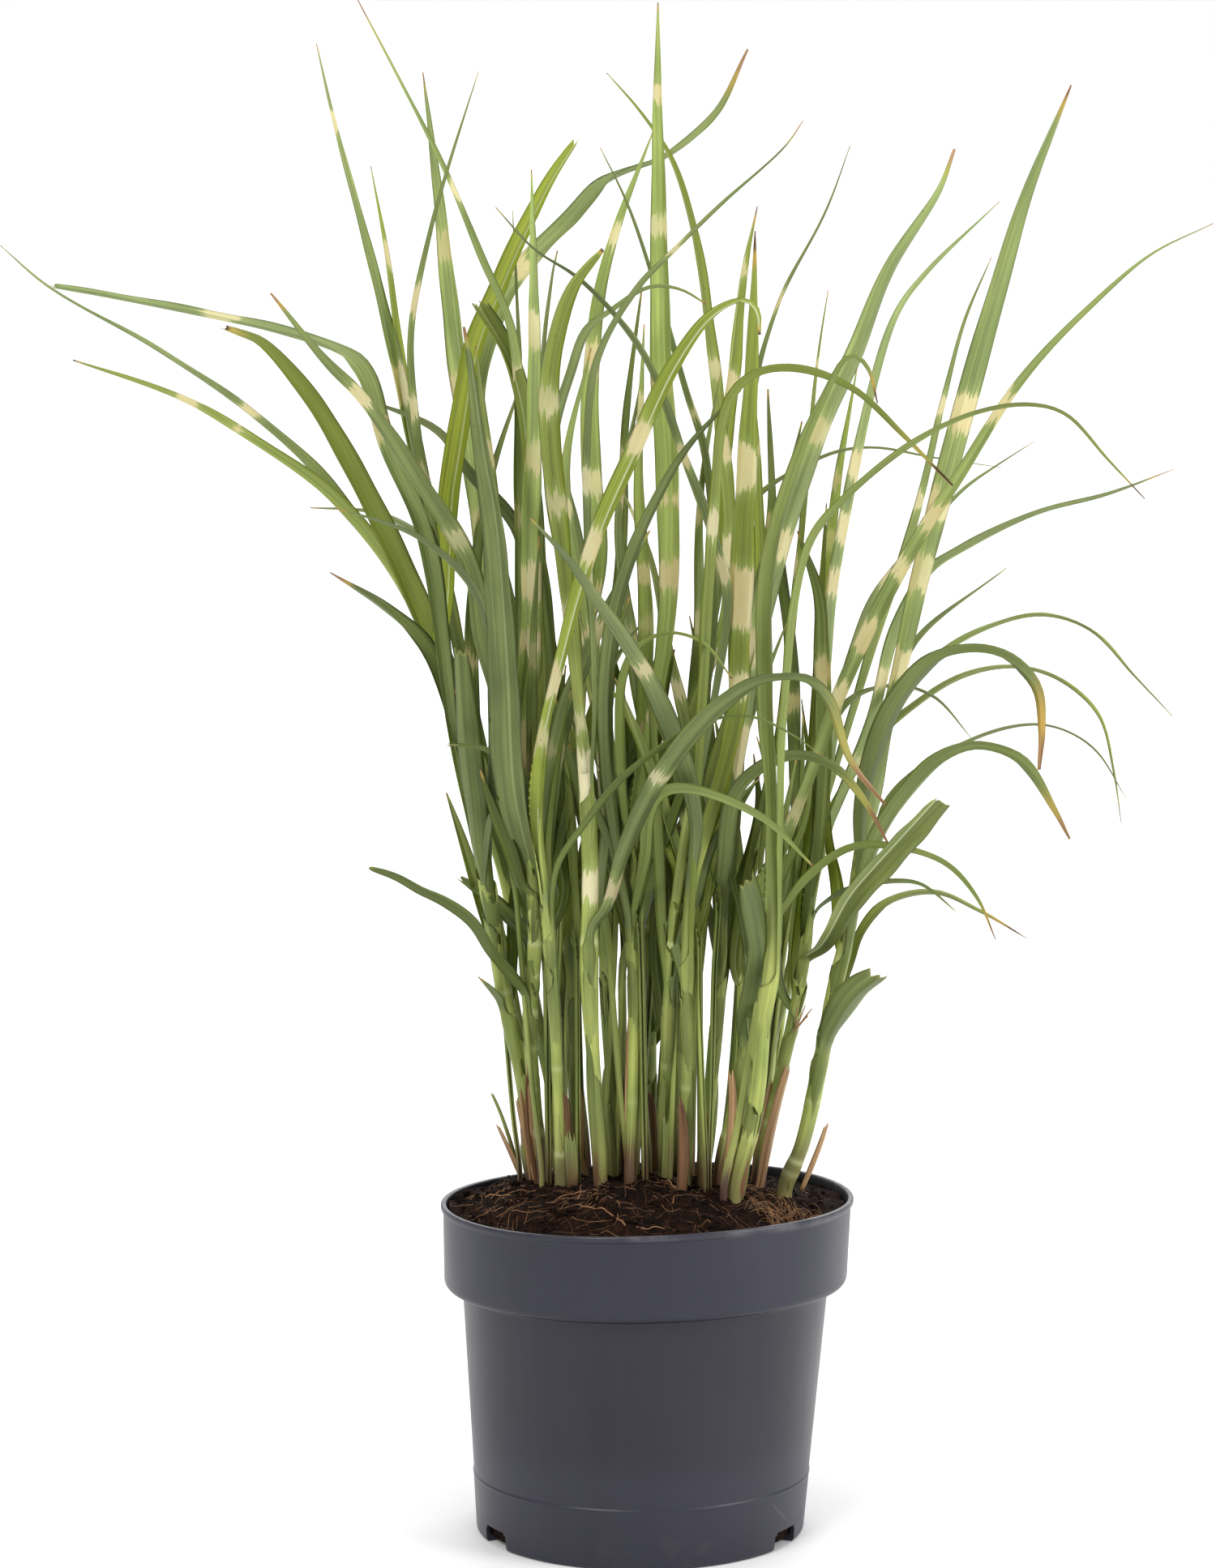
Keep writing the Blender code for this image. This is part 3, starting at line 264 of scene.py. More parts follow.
# Leaves that leave a stem at a collar, each its own piece: stem, how far down the drawing the collar
# is, width seen, true width, depth of the tip, width of the tip, and the route.
SIDE_LEAVES = read_rows("""
leaf_left_01 stem_21 1060 13 11 140 1 route 576,900 520,760 440,650 383,579 297,503 190,430 57,353 0,303
  bands 306,511,15 470,690,12 taper 1.2 2.4 tone 0.82 0.2
leaf_left_02 stem_01 1105 18 12 25 7 route 556,900 540,775 520,660 470,540 447,465 425,440 340,410 250,390
  130,366 62,354 bands 269,390,20 465,528,14 taper 1.15 4.5 arch 0.55 tone 0.95 0.1
leaf_left_04 stem_20 1080 16 12 -60 2 route 632,930 590,800 574,705 509,594 442,494 400,450 333,362
  bands 442,494,16 555,670,10 dry 16 7 taper 1.5 4.2 tone 0.85 0.3
leaf_left_05 stem_02 1115 27 14 70 5 route 560,860 520,760 455,620 380,490 322,425 298,414 269,403 dry 26 1
  taper 0.95 5 arch 0.3 tone 0.72 1
leaf_left_06 stem_21 1115 16 12 62 2 route 562,900 528,790 470,690 400,610 288,531 220,492 90,445
  bands 234,498,14 288,531,3 taper 1.3 3.4 arch 0.5 tone 1 0.8
leaf_left_07 stem_20 1170 16 12 170 2 route 630,900 605,760 573,713 518,664 461,634 383,627 taper 1.3 4
leaf_left_08 stem_01 1155 15 12 12 2 route 578,960 545,855 516,793 470,750 407,707 dry 18 9 taper 1.6 4
  tone 0.7 0.1
leaf_left_12 stem_02 1050 12 11 -20 1 route 556,880 536,700 518,587 504,472 506,390 530,280 550,210 590,88
  bands 508,372,18 509,501,14 518,587,10 taper 1 2.4
leaf_left_13 stem_03 1105 20 13 30 1 route 643,960 640,800 638,620 630,415 591,316 545,205 490,95 441,0
  bands 560,237,14 632,478,18 640,640,12 dry 46 10 taper 0.8 1.8 tone 0.9 0.2
leaf_left_17 stem_05 1120 18 13 90 9 route 685,950 668,800 650,560 627,455 601,398 582,374 dry 10 5
  taper 0.9 3 tone 0.75 0.4
leaf_left_18 stem_03 1142 28 15 -164 2 route 635,980 626,822 612,644 597,558 580,438 573,403 dry 16 7
  taper 1.3 2.6 late 0.35 tone 0.62 0 rib 0.2 face -1
leaf_mid_25 stem_06 1000 8 9 -180 1 route 736,850 728,640 738,451 787,359 836,307 894,250 970,180 991,149
  bands 836,307,10 734,590,12 730,720,14 dry 20 10
leaf_left_40 stem_03 1266 14 12 -80 6 route 627,1208 601,1177 578,1142 543,1116 515,1102 486,1085 452,1072
  taper 1 7 late 0.3 arch 0.4 tone 0.55 0.2
leaf_left_41 stem_03 1220 14 11 40 5 route 645,1155 630,1139 607,1116 584,1099 564,1083 taper 1.1 6 late 0.3
  arch 0.4 tone 0.55 0.2
leaf_right_02 stem_18 1075 13 12 60 1 route 1030,960 1080,800 1130,650 1165,500 1190,400 1223,318
  bands 1168,502,16 1140,620,12
leaf_right_05 stem_12 1222 8 9 54 1 route 914,1000 922,800 925,650 930,500 962,375 1020,260 1049,180
  bands 962,375,10 924,640,14
leaf_right_12 stem_16 1185 14 12 -60 1 route 1030,1010 1078,900 1110,780 1150,706 1193,677 1280,634 1366,611
  1449,579 bands 1090,840,14 1060,940,10 dry 22 10 taper 1.1 4 tone 0.8 0.1
leaf_right_14 stem_14 1225 9 10 -230 1 route 965,1030 970,880 1000,676 1043,618 1130,547 1201,512 1270,501
  1313,512 1366,568 1412,616 dry 24 10 arch 0.5
leaf_right_15 stem_11 1200 10 10 -150 2 route 862,1000 872,850 885,650 902,500 932,465 980,458 1049,481
  1112,538 1175,600 bands 885,650,12 dry 62 14 taper 1.25 3.6 arch 0.3 tone 0.72 0.9
leaf_right_17 stem_16 1100 10 10 20 1 route 1025,960 1045,840 1080,740 1130,673 1187,607 1230,575 1276,545
  bands 1100,710,10
leaf_right_19 stem_16 1150 10 10 70 1 route 1030,1010 1085,900 1153,816 1223,774 1287,760 1344,778 1399,835
  1446,884
leaf_right_20 stem_17 1105 29 15 -130 2 route 1064,1000 1080,930 1112,860 1155,815 1207,804 1245,815
  1277,848 1284,899 1281,950 dry 62 16 taper 0.95 2 arch 0.6 tone 0.62 0.15
leaf_right_21 stem_18 1200 10 10 150 1 route 1022,1030 1070,930 1137,867 1191,835 1249,824 1303,838 1354,883
  1373,953 1383,1017 dry 28 12
leaf_right_22 stem_17 1146 9 10 90 1 route 1080,1050 1092,995 1140,947 1223,905 1281,895 1320,905 1354,930
  1389,986 taper 0.6 2.6
leaf_right_23 stem_17 1200 20 14 -130 2 route 1060,1110 1082,1045 1112,994 1159,943 1204,924 1255,940
  1297,998 1319,1036 dry 40 12 taper 1.05 3.6 arch 0.6 tone 0.7 0.35
leaf_right_24 stem_15 1225 29 15 -210 14 route 1014,1165 1048,1106 1080,1068 1112,1033 1156,985 taper 1.08 8
  late 0.62 arch 0.1 tone 0.72 0.4 rib 0.9 face -1
leaf_right_25 stem_13 1225 11 10 -190 1 route 935,1180 960,1135 999,1085 1051,1049 1112,1049 1166,1068
  1204,1109 1228,1160 dry 30 12
leaf_right_27 stem_17 1278 10 10 50 1 route 1052,1190 1066,1150 1096,1116 1153,1103 1207,1125 1266,1158
  dry 40 14
leaf_right_28 stem_17 1318 27 14 -70 14 route 1029,1269 1055,1230 1087,1204 taper 1.22 9 late 0.6 arch 0
  tone 0.62 0.1
leaf_mid_30 stem_06 1180 27 15 -210 2 route 750,1120 772,1052 800,990 838,931 893,872 944,842 993,841
  1020,865 1048,940 1091,993 bands 817,967,6 754,1100,11 dry 90 26 taper 1 1.9 late 0.55 tone 0.62 0.1
  rib 0.3
leaf_mid_31 stem_04 1170 10 10 -150 1 route 690,1070 720,1023 772,960 827,917 873,891 924,885 973,905
  1016,934 taper 0.9 2 tone 0.55 0.1
leaf_mid_32 stem_12 1175 20 14 -135 2 route 900,1060 916,975 976,937 1022,947 1062,987 1094,1040 dry 70 20
  late 0.35 arch 0.3 tone 0.7 0.25
leaf_mid_33 stem_08 1174 17 13 -150 2 route 801,1058 806,1008 818,984 850,978 939,1012 1002,1069 arch 0.55
  tone 0.9 0.45
""")

# Small leaves and cut leaf ends that are one piece with their stem, as the side leaves. Those with
# no route only have a collar: they stand as stubs in the peat.
SMALL_LEAVES = read_rows("""
stem_01_small_0 stem_01 1270 12 10 -40 3 route 606,1225 591,1207
stem_02_small_0 stem_02 1395
stem_03_small_0 stem_03 1090 12 10 -60 5 route 640,960 594,925 551,920
stem_03_small_1 stem_03 1180 20 12 30 5 route 625,1066 608,1023 600,986
stem_04_small_0 stem_04 1440
stem_05_small_0 stem_05 1040 8 9 80 1 route 670,720 641,560 639,446 632,260
stem_07_small_0 stem_07 960 10 10 60 2 route 716,700 668,480 680,340 687,309
stem_09_small_0 stem_09 1160 18 13 70 2 route 800,980 775,800 760,640 790,470 bands 762,610,12 775,790,10
stem_09_small_1 stem_09 1100 10 10 60 1 route 838,980 876,780 867,566 844,485 804,345 772,250 740,182
  bands 848,514,12 874,690,12
stem_10_small_0 stem_10 1180 16 12 40 2 route 850,960 820,800 800,690 765,600 bands 775,640,12 830,850,12
stem_13_small_0 stem_13 1180 9 9 40 1 route 948,1000 972,850 995,620 1010,443 1022,358
  bands 1010,443,12 985,700,14 965,880,12
stem_13_small_1 stem_13 1415
stem_15_small_0 stem_15 1400
stem_15_small_1 stem_15 1165 7 8 -140 1 route 1030,1108 1060,1096 1108,1089 1137,1093 1179,1125
stem_16_small_0 stem_16 1090 8 9 90 1 route 1010,960 1048,868 1100,847 1150,860 1199,912
stem_17_small_0 stem_17 1445
stem_17_small_1 stem_17 1060 8 9 30 1 route 1100,870 1133,791 1242,701
stem_18_small_0 stem_18 1130 18 13 160 2 route 985,980 980,800 965,660 990,520 bands 965,660,14 984,870,12
stem_19_small_0 stem_19 1100 9 9 130 1 route 872,900 885,760 924,628 1015,565 1072,553 1150,565 1234,577
stem_19_small_1 stem_19 1130 20 14 140 2 route 905,960 935,800 955,640 948,480 bands 955,640,14 925,840,12
stem_20_small_0 stem_20 1130 18 13 140 2 route 690,960 712,800 700,640 670,520 bands 700,640,12 708,760,12
stem_20_small_1 stem_20 1010 15 12 60 2 route 650,850 648,740 632,655 575,587 538,535 456,495 taper 1.3 4
  arch 0.2 tone 0.68 0.1
stem_21_small_0 stem_21 1440
stem_21_small_1 stem_21 1000 10 9 100 1 route 560,800 525,640 497,490 475,313 457,205
  bands 475,313,14 520,620,12 taper 1.4 3 tone 1.15 0.8
stem_22_small_0 stem_22 1110 18 13 120 2 route 750,900 770,700 775,520 792,360 bands 774,560,12 766,780,12
""")

# More leaves that are seen in the clump's middle, as the side leaves.
MORE_LEAVES = read_rows("""
light_09 stem_09 1150 20 11 5 1 route 797,1010 797,880 800,780 796,690 790,600 792,500 795,400
  bands 792,500,12 796,707,13 799,769,11 797,900,10 tone 1.1 0.3
dark_09 stem_09 1335 24 12 0 1 route 815,1260 809,1180 812,1100 822,1020 836,965 tone 0.5 0.5
front_11 stem_11 1130 24 13 -175 1 route 856,1020 842,950 812,872 776,804 738,748 700,692 654,640
  bands 791,828,9 tone 0.72 0
light_11 stem_11 1230 18 11 -10 1 route 872,1120 892,1000 905,900 930,780 940,720 938,600 930,480 925,400
  bands 936,555,11 934,760,10 tone 1.05 0.6
front_01 stem_01 1120 16 11 -70 1 route 603,980 605,860 600,778 578,722 520,668 470,645 414,628 arch 0.15
  tone 0.68 0
cut_04 stem_04 1130 21 12 18 12 route 662,900 655,760 652,620 645,510 624,436 586,372 arch 0.1 tone 0.64 0.6
dark_04 stem_04 1200 18 11 25 1 route 694,1100 672,1000 648,900 640,800 tone 0.46 0.3
across_04 stem_04 1150 15 10 45 1 route 690,1060 712,960 736,870 770,800 800,760 tone 0.55 0.2
dark_07 stem_07 1210 18 11 60 1 route 740,1120 716,1010 690,910 668,800 tone 0.45 0.4
across_07 stem_07 1150 15 10 70 1 route 756,1060 780,950 800,860 822,770 tone 0.6 0.1
dark_03 stem_03 1135 21 11 -40 1 route 646,1100 624,1045 605,995 592,950 tone 0.42 0.1
dark_05 stem_05 1240 18 11 45 1 route 716,1150 740,1060 762,990 792,905 812,850 tone 0.5 0.1
cross_05 stem_05 1180 14 9 0 1 route 690,1100 664,1020 652,960 662,900 tone 0.62 0
rising_08 stem_08 1150 20 11 -115 1 route 766,1060 752,960 750,850 764,740 800,640 850,552 914,482
  tone 0.72 0.15
arch_08 stem_08 1100 13 9 -95 1 route 774,1010 768,900 772,835 790,798 826,782 866,794 903,838 tone 0.85 0.6
cross_08 stem_08 1190 14 9 -30 1 route 770,1120 748,1040 722,975 700,915 tone 0.8 0.3
dark_08 stem_08 1215 16 10 -20 1 route 796,1130 824,1040 842,985 872,905 886,840 tone 0.48 0.1
cross_10 stem_10 1260 16 10 -40 1 route 838,1180 862,1110 880,1050 915,985 938,960 tone 0.6 0
olive_10 stem_10 1120 12 8 10 1 route 820,1040 800,960 770,880 742,835 tone 0.9 1
dark_12 stem_12 1290 20 12 25 1 route 893,1210 905,1130 928,1060 938,990 930,930 tone 0.45 0.2
cross_12 stem_12 1180 12 8 35 1 route 880,1090 858,1010 842,950 836,880 tone 0.95 0.5
blue_13 stem_13 1320 24 13 -105 12 route 930,1250 942,1180 934,1120 925,1082 taper 1.15 8 late 0.3 arch 0
  tone 0.6 0
cross_13 stem_13 1240 12 8 -10 1 route 938,1150 968,1080 996,1010 1004,930 tone 0.9 0.4
blue_15 stem_15 1290 14 9 10 1 route 966,1220 960,1150 972,1090 980,1040 tone 0.55 0
dark_22 stem_22 1230 20 12 60 1 route 742,1150 762,1060 772,960 764,860 742,760 tone 0.45 0.3
dark_19 stem_19 1220 20 12 70 1 route 846,1140 866,1050 874,950 866,850 850,760 tone 0.45 0.3
""")

LOOKS = {**STEMS, **SIDE_LEAVES, **SMALL_LEAVES, **MORE_LEAVES}

# Stubs, cut sheaths and torn strands at the foot: stem, across and down at its foot, across and down
# at its tip, depth and width in millimetres, and how dry it is, with 0.9 for the dark ones.
STUBS = [line.split() for line in """
stem_01 652 1474 611 1384 42 4.5 1
stem_01 642 1452 605 1346 46 3 0.1
stem_01 664 1462 639 1347 20 8 1
stem_01 650 1452 643 1388 36 2 1
stem_04 706 1474 700 1392 -22 10 0
stem_05 726 1470 704 1398 14 9 0.8
stem_08 776 1470 781 1331 -4 12 0
stem_11 838 1488 836 1352 -30 13 0.9
stem_12 866 1484 871 1366 -6 9 1
stem_13 890 1496 901 1317 -22 7 1
stem_15 928 1470 954 1326 8 8 1
stem_15 936 1474 975 1311 0 9.5 1
stem_17 988 1470 1021 1384 -4 4.5 1
stem_15 981 1272 1003 1243 -6 1.6 1
stem_15 981 1272 994 1239 -5 1.6 1
stem_15 981 1272 986 1240 -4 1.6 1
stem_15 979 1274 998 1252 -7 1.8 1
stem_10 820 1474 822 1372 0 10 0
stem_07 756 1470 748 1360 2 11 0
stem_09 804 1460 798 1340 30 12 0.9
""".strip().splitlines()]


def look(name, word, *usual):
    """The numbers that the tables have for a blade's word, or the usual ones."""
    return LOOKS.get(name, {}).get(word, usual)


def leaves_of(table, stem):
    """The names of the leaves of one table that grow on this stem."""
    return [name for name, row in table.items() if row["entry"][0] == stem]


# ---------------------------------------------------------------- routes, as the solids have them

def peat_height(x, y):
    """The mound's height over a place in the pot."""
    out = min(1.0, math.hypot(x, y) / (BAND_TOP_RADIUS - WALL))
    return PEAT_EDGE + (PEAT_CROWN - PEAT_EDGE) * (1.0 - out ** PEAT_FALL)


def sight(across, down, depth):
    """The place that a point of the front drawing has at this depth behind the pot's axis."""
    away = 1.0 + depth / EYE_DISTANCE
    x = (across - DRAWING_AXIS) / DRAWING_PER_METRE * away
    height = (DRAWING_GROUND - down) / DRAWING_PER_METRE
    return Vector((x, depth, EYE_HEIGHT + (height - EYE_HEIGHT) * away))


def rows_of(places):
    """Places as the rows of an array."""
    return np.array([tuple(place) for place in places])


def drawn(rows):
    """Where places, as rows, are on the front drawing: across and down."""
    away = 1.0 + rows[:, 1] / EYE_DISTANCE
    across = DRAWING_AXIS + rows[:, 0] / away * DRAWING_PER_METRE
    height = EYE_HEIGHT + (rows[:, 2] - EYE_HEIGHT) / away
    return np.column_stack((across, DRAWING_GROUND - height * DRAWING_PER_METRE))


def blend(first, second, start, end, at):
    """The place at a time, on the line that is at the first at the start and the second at the end."""
    return first * ((end - at) / (end - start)) + second * ((at - start) / (end - start))


def smooth_curve(points):
    """Places along a smooth curve through the points, close together at close points."""
    ends = [points[0] * 2 - points[1], *points, points[-1] * 2 - points[-2]]
    curve = []
    for p0, p1, p2, p3 in zip(ends, ends[1:], ends[2:], ends[3:]):
        t1 = max((p1 - p0).length, 1e-6) ** 0.5
        t2 = t1 + max((p2 - p1).length, 1e-6) ** 0.5
        t3 = t2 + max((p3 - p2).length, 1e-6) ** 0.5
        for step in range(SPANS):
            t = t1 + (t2 - t1) * step / SPANS
            a1 = blend(p0, p1, 0.0, t1, t)
            a2 = blend(p1, p2, t1, t2, t)
            a3 = blend(p2, p3, t2, t3, t)
            curve.append(blend(blend(a1, a2, 0.0, t2, t), blend(a2, a3, t1, t3, t), t1, t2, t))
    curve.append(points[-1])
    return curve


def run_of(rows):
    """The distance of each row from the first, along them."""
    steps = np.linalg.norm(np.diff(rows, axis=0), axis=1)
    return np.concatenate(([0.0], np.cumsum(steps)))


def evenly(curve, step):
    """The same curve as rows that are one step apart."""
    rows = rows_of(curve)
    run = run_of(rows)
    want = np.linspace(0.0, run[-1], max(8, int(run[-1] / step)) + 1)
    return np.column_stack([np.interp(want, run, rows[:, axis]) for axis in range(3)])


def unit(rows):
    return rows / np.maximum(np.linalg.norm(rows, axis=1), 1e-9)[:, None]


def tangents(rows):
    return unit(np.gradient(rows, axis=0))


def smooth_part(value, start, end):
    """0 at the start, 1 at the end, with a soft change."""
    part = np.clip((value - start) / (end - start), 0.0, 1.0)
    return part * part * (3.0 - 2.0 * part)


def face_turn(seen, true_mm, turn):
    """How far a blade is turned from facing the front, for it to show the width that is seen."""
    shown = seen / DRAWING_PER_METRE / (true_mm * MM)
    return turn * math.degrees(math.acos(min(0.97, max(0.30, shown))))


def frames(rows, turn, upper=0.0, arch=ARCH_TURN):
    """For each row, the direction across the blade and the direction off its face.

    upper is +1 or -1 for the side that looks up where the blade arches over, and 0 for no such turn.
    arch is how much of the way it turns flat there.
    """
    along = tangents(rows)
    level = unit(np.cross(along, (0.0, 1.0, 0.0)))
    back = np.cross(level, along)
    part = np.linspace(0.0, 1.0, len(rows))
    angle = np.radians(turn + math.copysign(TWIST_TURN, turn) * (part - 0.5))[:, None]
    if upper:
        flat = -upper * math.pi / 2 * np.sign(along[:, 0])[:, None]
        angle = angle + (flat - angle) * arch * smooth_part(np.abs(along[:, :1]), 0.62, 0.97)
    across = level * np.cos(angle) + back * np.sin(angle)
    return across, back * np.cos(angle) - level * np.sin(angle)


def upper_sign(rows, angle):
    """+1 where the direction off the face is the upper side, which looks up and to the clump."""
    off = frames(rows, angle)[1]
    want = np.column_stack((-rows[:, 0] * 2.0, -rows[:, 1] * 2.0, np.ones(len(rows))))
    return 1.0 if (off * want).sum() > 0 else -1.0


def blade_width(name, run, start, true_mm, tip_mm, rolled, closed):
    """Width along a blade that opens out of a roll, as wide as rolled where closed is 1.

    From its collar, at start, it is narrower, then full, and then has a long taper.
    """
    part = np.clip((run - start) / (run[-1] - start), 0.0, 1.0)
    times, power = look(name, "taper", 1.0, 2.7)
    full = true_mm * MM * WIDER * times
    tip = max(tip_mm * MM, TIP_WIDTH)
    rise = 0.36 + 0.64 * smooth_part(part, 0.0, look(name, "late", 0.50)[0])
    flat = tip + (full * rise - tip) * np.maximum(0.0, 1.0 - part ** power)
    return rolled * closed + flat * (1.0 - closed)


def stem_route(name):
    """The middle line of a stem, from its foot in the peat up to where its top leaf begins."""
    across, foot_mm, top_mm, _ = STEMS[name]["entry"]
    route = STEMS[name]["up"]
    depth = foot_mm * MM
    x = (across - DRAWING_AXIS) / DRAWING_PER_METRE * (1.0 + depth / EYE_DISTANCE)
    surface = peat_height(x, depth)
    places = [Vector((x, depth, surface - SOCKET_DEPTH)), Vector((x, depth, surface + OUT_OF_PEAT))]
    top = sight(*route[-1], 0.0).z
    for place in route:
        part = (sight(*place, 0.0).z - surface) / (top - surface)
        places.append(sight(*place, depth + (top_mm * MM - depth) * part))
    return places


def leaf_route(start, start_depth, tip_mm, route):
    """A leaf's middle line from its start, its depth running off to the tip's."""
    run = run_of(rows_of([start, *(sight(*place, start_depth) for place in route)]))
    places = [start]
    for place, gone in zip(route, run[1:]):
        part = (gone / run[-1]) ** DEPTH_GROWTH
        places.append(sight(*place, start_depth + (tip_mm * MM - start_depth) * part))
    return places


def whole_curve(name):
    """A stem's middle line and on along its top leaf, and how many of its places are the stem's."""
    culm = stem_route(name)
    leaf = leaf_route(culm[-1], culm[-1].y, STEMS[name]["leaf"][3], STEMS[name]["route"])
    return smooth_curve(culm + leaf[1:]), (len(culm) - 1) * SPANS + 1


def on_stem(name, down):
    """The place on a stem's middle line that is this far down the drawing, and its direction."""
    curve = rows_of(smooth_curve(stem_route(name)))
    downs = drawn(curve)[:, 1]
    for low in range(len(curve) - 1):
        if downs[low + 1] <= down <= downs[low]:
            part = (downs[low] - down) / max(downs[low] - downs[low + 1], 1e-9)
            step = curve[low + 1] - curve[low]
            return Vector(curve[low] + step * part), Vector(step).normalized()
    return None


def stem_radius(name, height):
    """A stem tapers from its foot to its top."""
    top = stem_route(name)[-1].z
    part = np.clip((height - PEAT_EDGE) / (top - PEAT_EDGE), 0.0, 1.0)
    return STEMS[name]["entry"][3] * MM / 2 * (1.0 + (STEM_TAPER - 1.0) * part)


# ---------------------------------------------------------------- meshes with marks

def link(name, data):
    """An object of this mesh, lamp or camera, in the scene."""
    made = bpy.data.objects.new(name, data)
    bpy.context.scene.collection.objects.link(made)
    return made


def new_piece(name, corners, faces, material):
    """A smooth mesh of these corners and faces, in the scene."""
    mesh = bpy.data.meshes.new(name)
    mesh.from_pydata(corners, [], faces)
    mesh.shade_smooth()
    mesh.materials.append(material)
    return link(name, mesh)


def hand_over(piece, node=None):
    """The body a piece rides, and the solid it takes the place of."""
    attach(piece, "root")
    if node:
        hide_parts(node)


def ring_faces(first, last, sides):
    """Faces between rings of corners, from the ring that starts at first to the one at last."""
    faces = []
    for low in range(first, last, sides):
        for side in range(sides):
            after = (side + 1) % sides
            faces.append((low + side, low + after, low + sides + after, low + sides + side))
    return faces


def end_caps(first, last, sides):
    """A face over each end of a tube."""
    return [tuple(reversed(range(first, first + sides))), tuple(range(last, last + sides))]


def blade_caps(first, last, sides):
    """Strips that close both ends of a blade, between its upper and its lower side."""
    faces = []
    for low, turned in ((first, True), (last, False)):
        for column in range(sides // 2):
            under = low + (sides - column - 1) % sides, low + (sides - column) % sides
            face = dict.fromkeys((low + column, low + column + 1, *under))
            faces.append(tuple(reversed(face)) if turned else tuple(face))
    return faces


class Build:
    """Tubes gathered into one mesh, with the marks that its material reads."""

    def __init__(self):
        self.points = []
        self.faces = []
        self.marks = {"place": [], "marks": [], "tint": []}

    def add_tube(self, ring, caps, *marks):
        """A tube, from the line of places along each of its sides; each mark is three numbers."""
        points = np.stack(ring, axis=1)
        rings, sides = points.shape[:2]
        first = sum(len(block) for block in self.points)
        ends = (first, first + (rings - 1) * sides, sides)
        self.faces += ring_faces(*ends) + caps(*ends)
        self.points.append(points.reshape(-1, 3))
        for blocks, mark in zip(self.marks.values(), marks):
            spread = [np.broadcast_to(value, (rings, sides)) for value in mark]
            blocks.append(np.stack(spread, axis=2).reshape(-1, 3))

    def finish(self, name, material):
        made = new_piece(name, np.concatenate(self.points).tolist(), self.faces, material)
        for title, blocks in self.marks.items():
            layer = made.data.attributes.new(title, "FLOAT_VECTOR", "POINT")
            layer.data.foreach_set("vector", np.concatenate(blocks).astype(np.float32).ravel())
        made.data.validate()
        return made


def band_field(rows, run, bands):
    """How far inside a cream band each row is, in millimetres, negative outside."""
    field = np.full(len(rows), -60.0)
    seen = drawn(rows)
    for across, down, long_mm in bands:
        nearest = np.argmin((seen[:, 0] - across) ** 2 + (seen[:, 1] - down) ** 2)
        field = np.maximum(field, long_mm / 2 - np.abs(run - run[nearest]) / MM)
    return field[:, None]


def add_blade(build, name, rows, across, upper, width, wrap, radius, cut_mm, seed, dead=0.0):
    """A blade along its middle line: rolled round its stem where wrap is 1, and folded where it is 0.

    radius is that of the roll, cut_mm how ragged a cut tip is, and dead how dry the whole blade is.
    """
    draw = random.Random(seed)
    run = run_of(rows)
    columns = len(SPREAD)
    u = SPREAD[None, :] * width[:, None] / 2
    curl = np.maximum(wrap / radius, 1e-3)[:, None]
    fold = BLADE_FOLD * (1.0 - wrap) * width
    x = np.sin(u * curl) / curl
    y = (1.0 - np.cos(u * curl)) / curl + fold[:, None] * np.abs(SPREAD) ** 1.35
    wave_long = draw.uniform(*RIPPLE_LONG)
    for side, phase in ((-1.0, draw.uniform(0, 6.28)), (1.0, draw.uniform(0, 6.28))):
        ripple = np.sin(run / wave_long * math.tau + phase) * RIPPLE * width * (1.0 - wrap)
        y += ripple[:, None] * np.where(SPREAD * side > 0, SPREAD ** 2, 0.0)
    dx, dy = np.gradient(x, axis=1), np.gradient(y, axis=1)
    size = np.maximum(np.hypot(dx, dy), 1e-9)
    small = np.minimum(1.0, width / THIN_BELOW)[:, None]
    thin = (1.0 - 0.65 * np.abs(SPREAD)) * small
    rise = UPPER_THICK * thin - GROOVE_DEPTH * small * np.exp(-(u / GROOVE_WIDTH) ** 2)
    drop = UNDER_THICK * thin + KEEL_DEPTH * small * np.exp(-(u / KEEL_WIDTH) ** 2)
    back = np.zeros(u.shape)
    if cut_mm:
        rag = np.array([draw.uniform(0.0, 1.0) for _ in SPREAD]) * cut_mm * MM
        back = rag[None, :] * smooth_part(run, run[-1] - 0.012, run[-1])[:, None]
    along = tangents(rows)
    order = [(column, rise, 1.0) for column in range(columns)]
    order += [(column, drop, -1.0) for column in range(columns - 2, 0, -1)]
    ring = []
    for column, thick, side in order:
        lift = 0.0 if column in (0, columns - 1) else side * thick[:, column]
        px = x[:, column] - dy[:, column] / size[:, column] * lift
        py = y[:, column] + dx[:, column] / size[:, column] * lift
        ring.append(rows + across * px[:, None] + upper * py[:, None] - along * back[:, column][:, None])
    over = np.array([u[:, column] for column, _, _ in order]).T
    up_side = np.array([1.0 if side > 0 else 0.0 for _, _, side in order])
    yellow_mm, brown_mm = look(name, "dry", *((2.0, 0.5) if cut_mm else (7.0, 2.5)))
    left = (run[-1] - run)[:, None] / MM
    dry = np.clip(1.0 - (left - brown_mm) / max(yellow_mm - brown_mm, 1.0), 0.0, 1.0) * 0.62
    dry = dry + 0.38 * np.clip(1.4 - left / brown_mm, 0.0, 1.0)
    if cut_mm and not look(name, "dry"):
        dry = dry * 0.25
    # light and olive: the blade's painted light and shade, and its painted olive of light coming through.
    light, olive = look(name, "tone", draw.uniform(0.58, 0.90), draw.uniform(0.15, 0.6))
    rib = look(name, "rib", draw.uniform(0.05, 0.30))[0]
    band = band_field(rows, run, look(name, "bands"))
    build.add_tube(ring, blade_caps, (run[:, None], over, seed % 97),
                   (band, np.maximum(dry, dead), wrap[:, None]), (light, olive, up_side * rib))


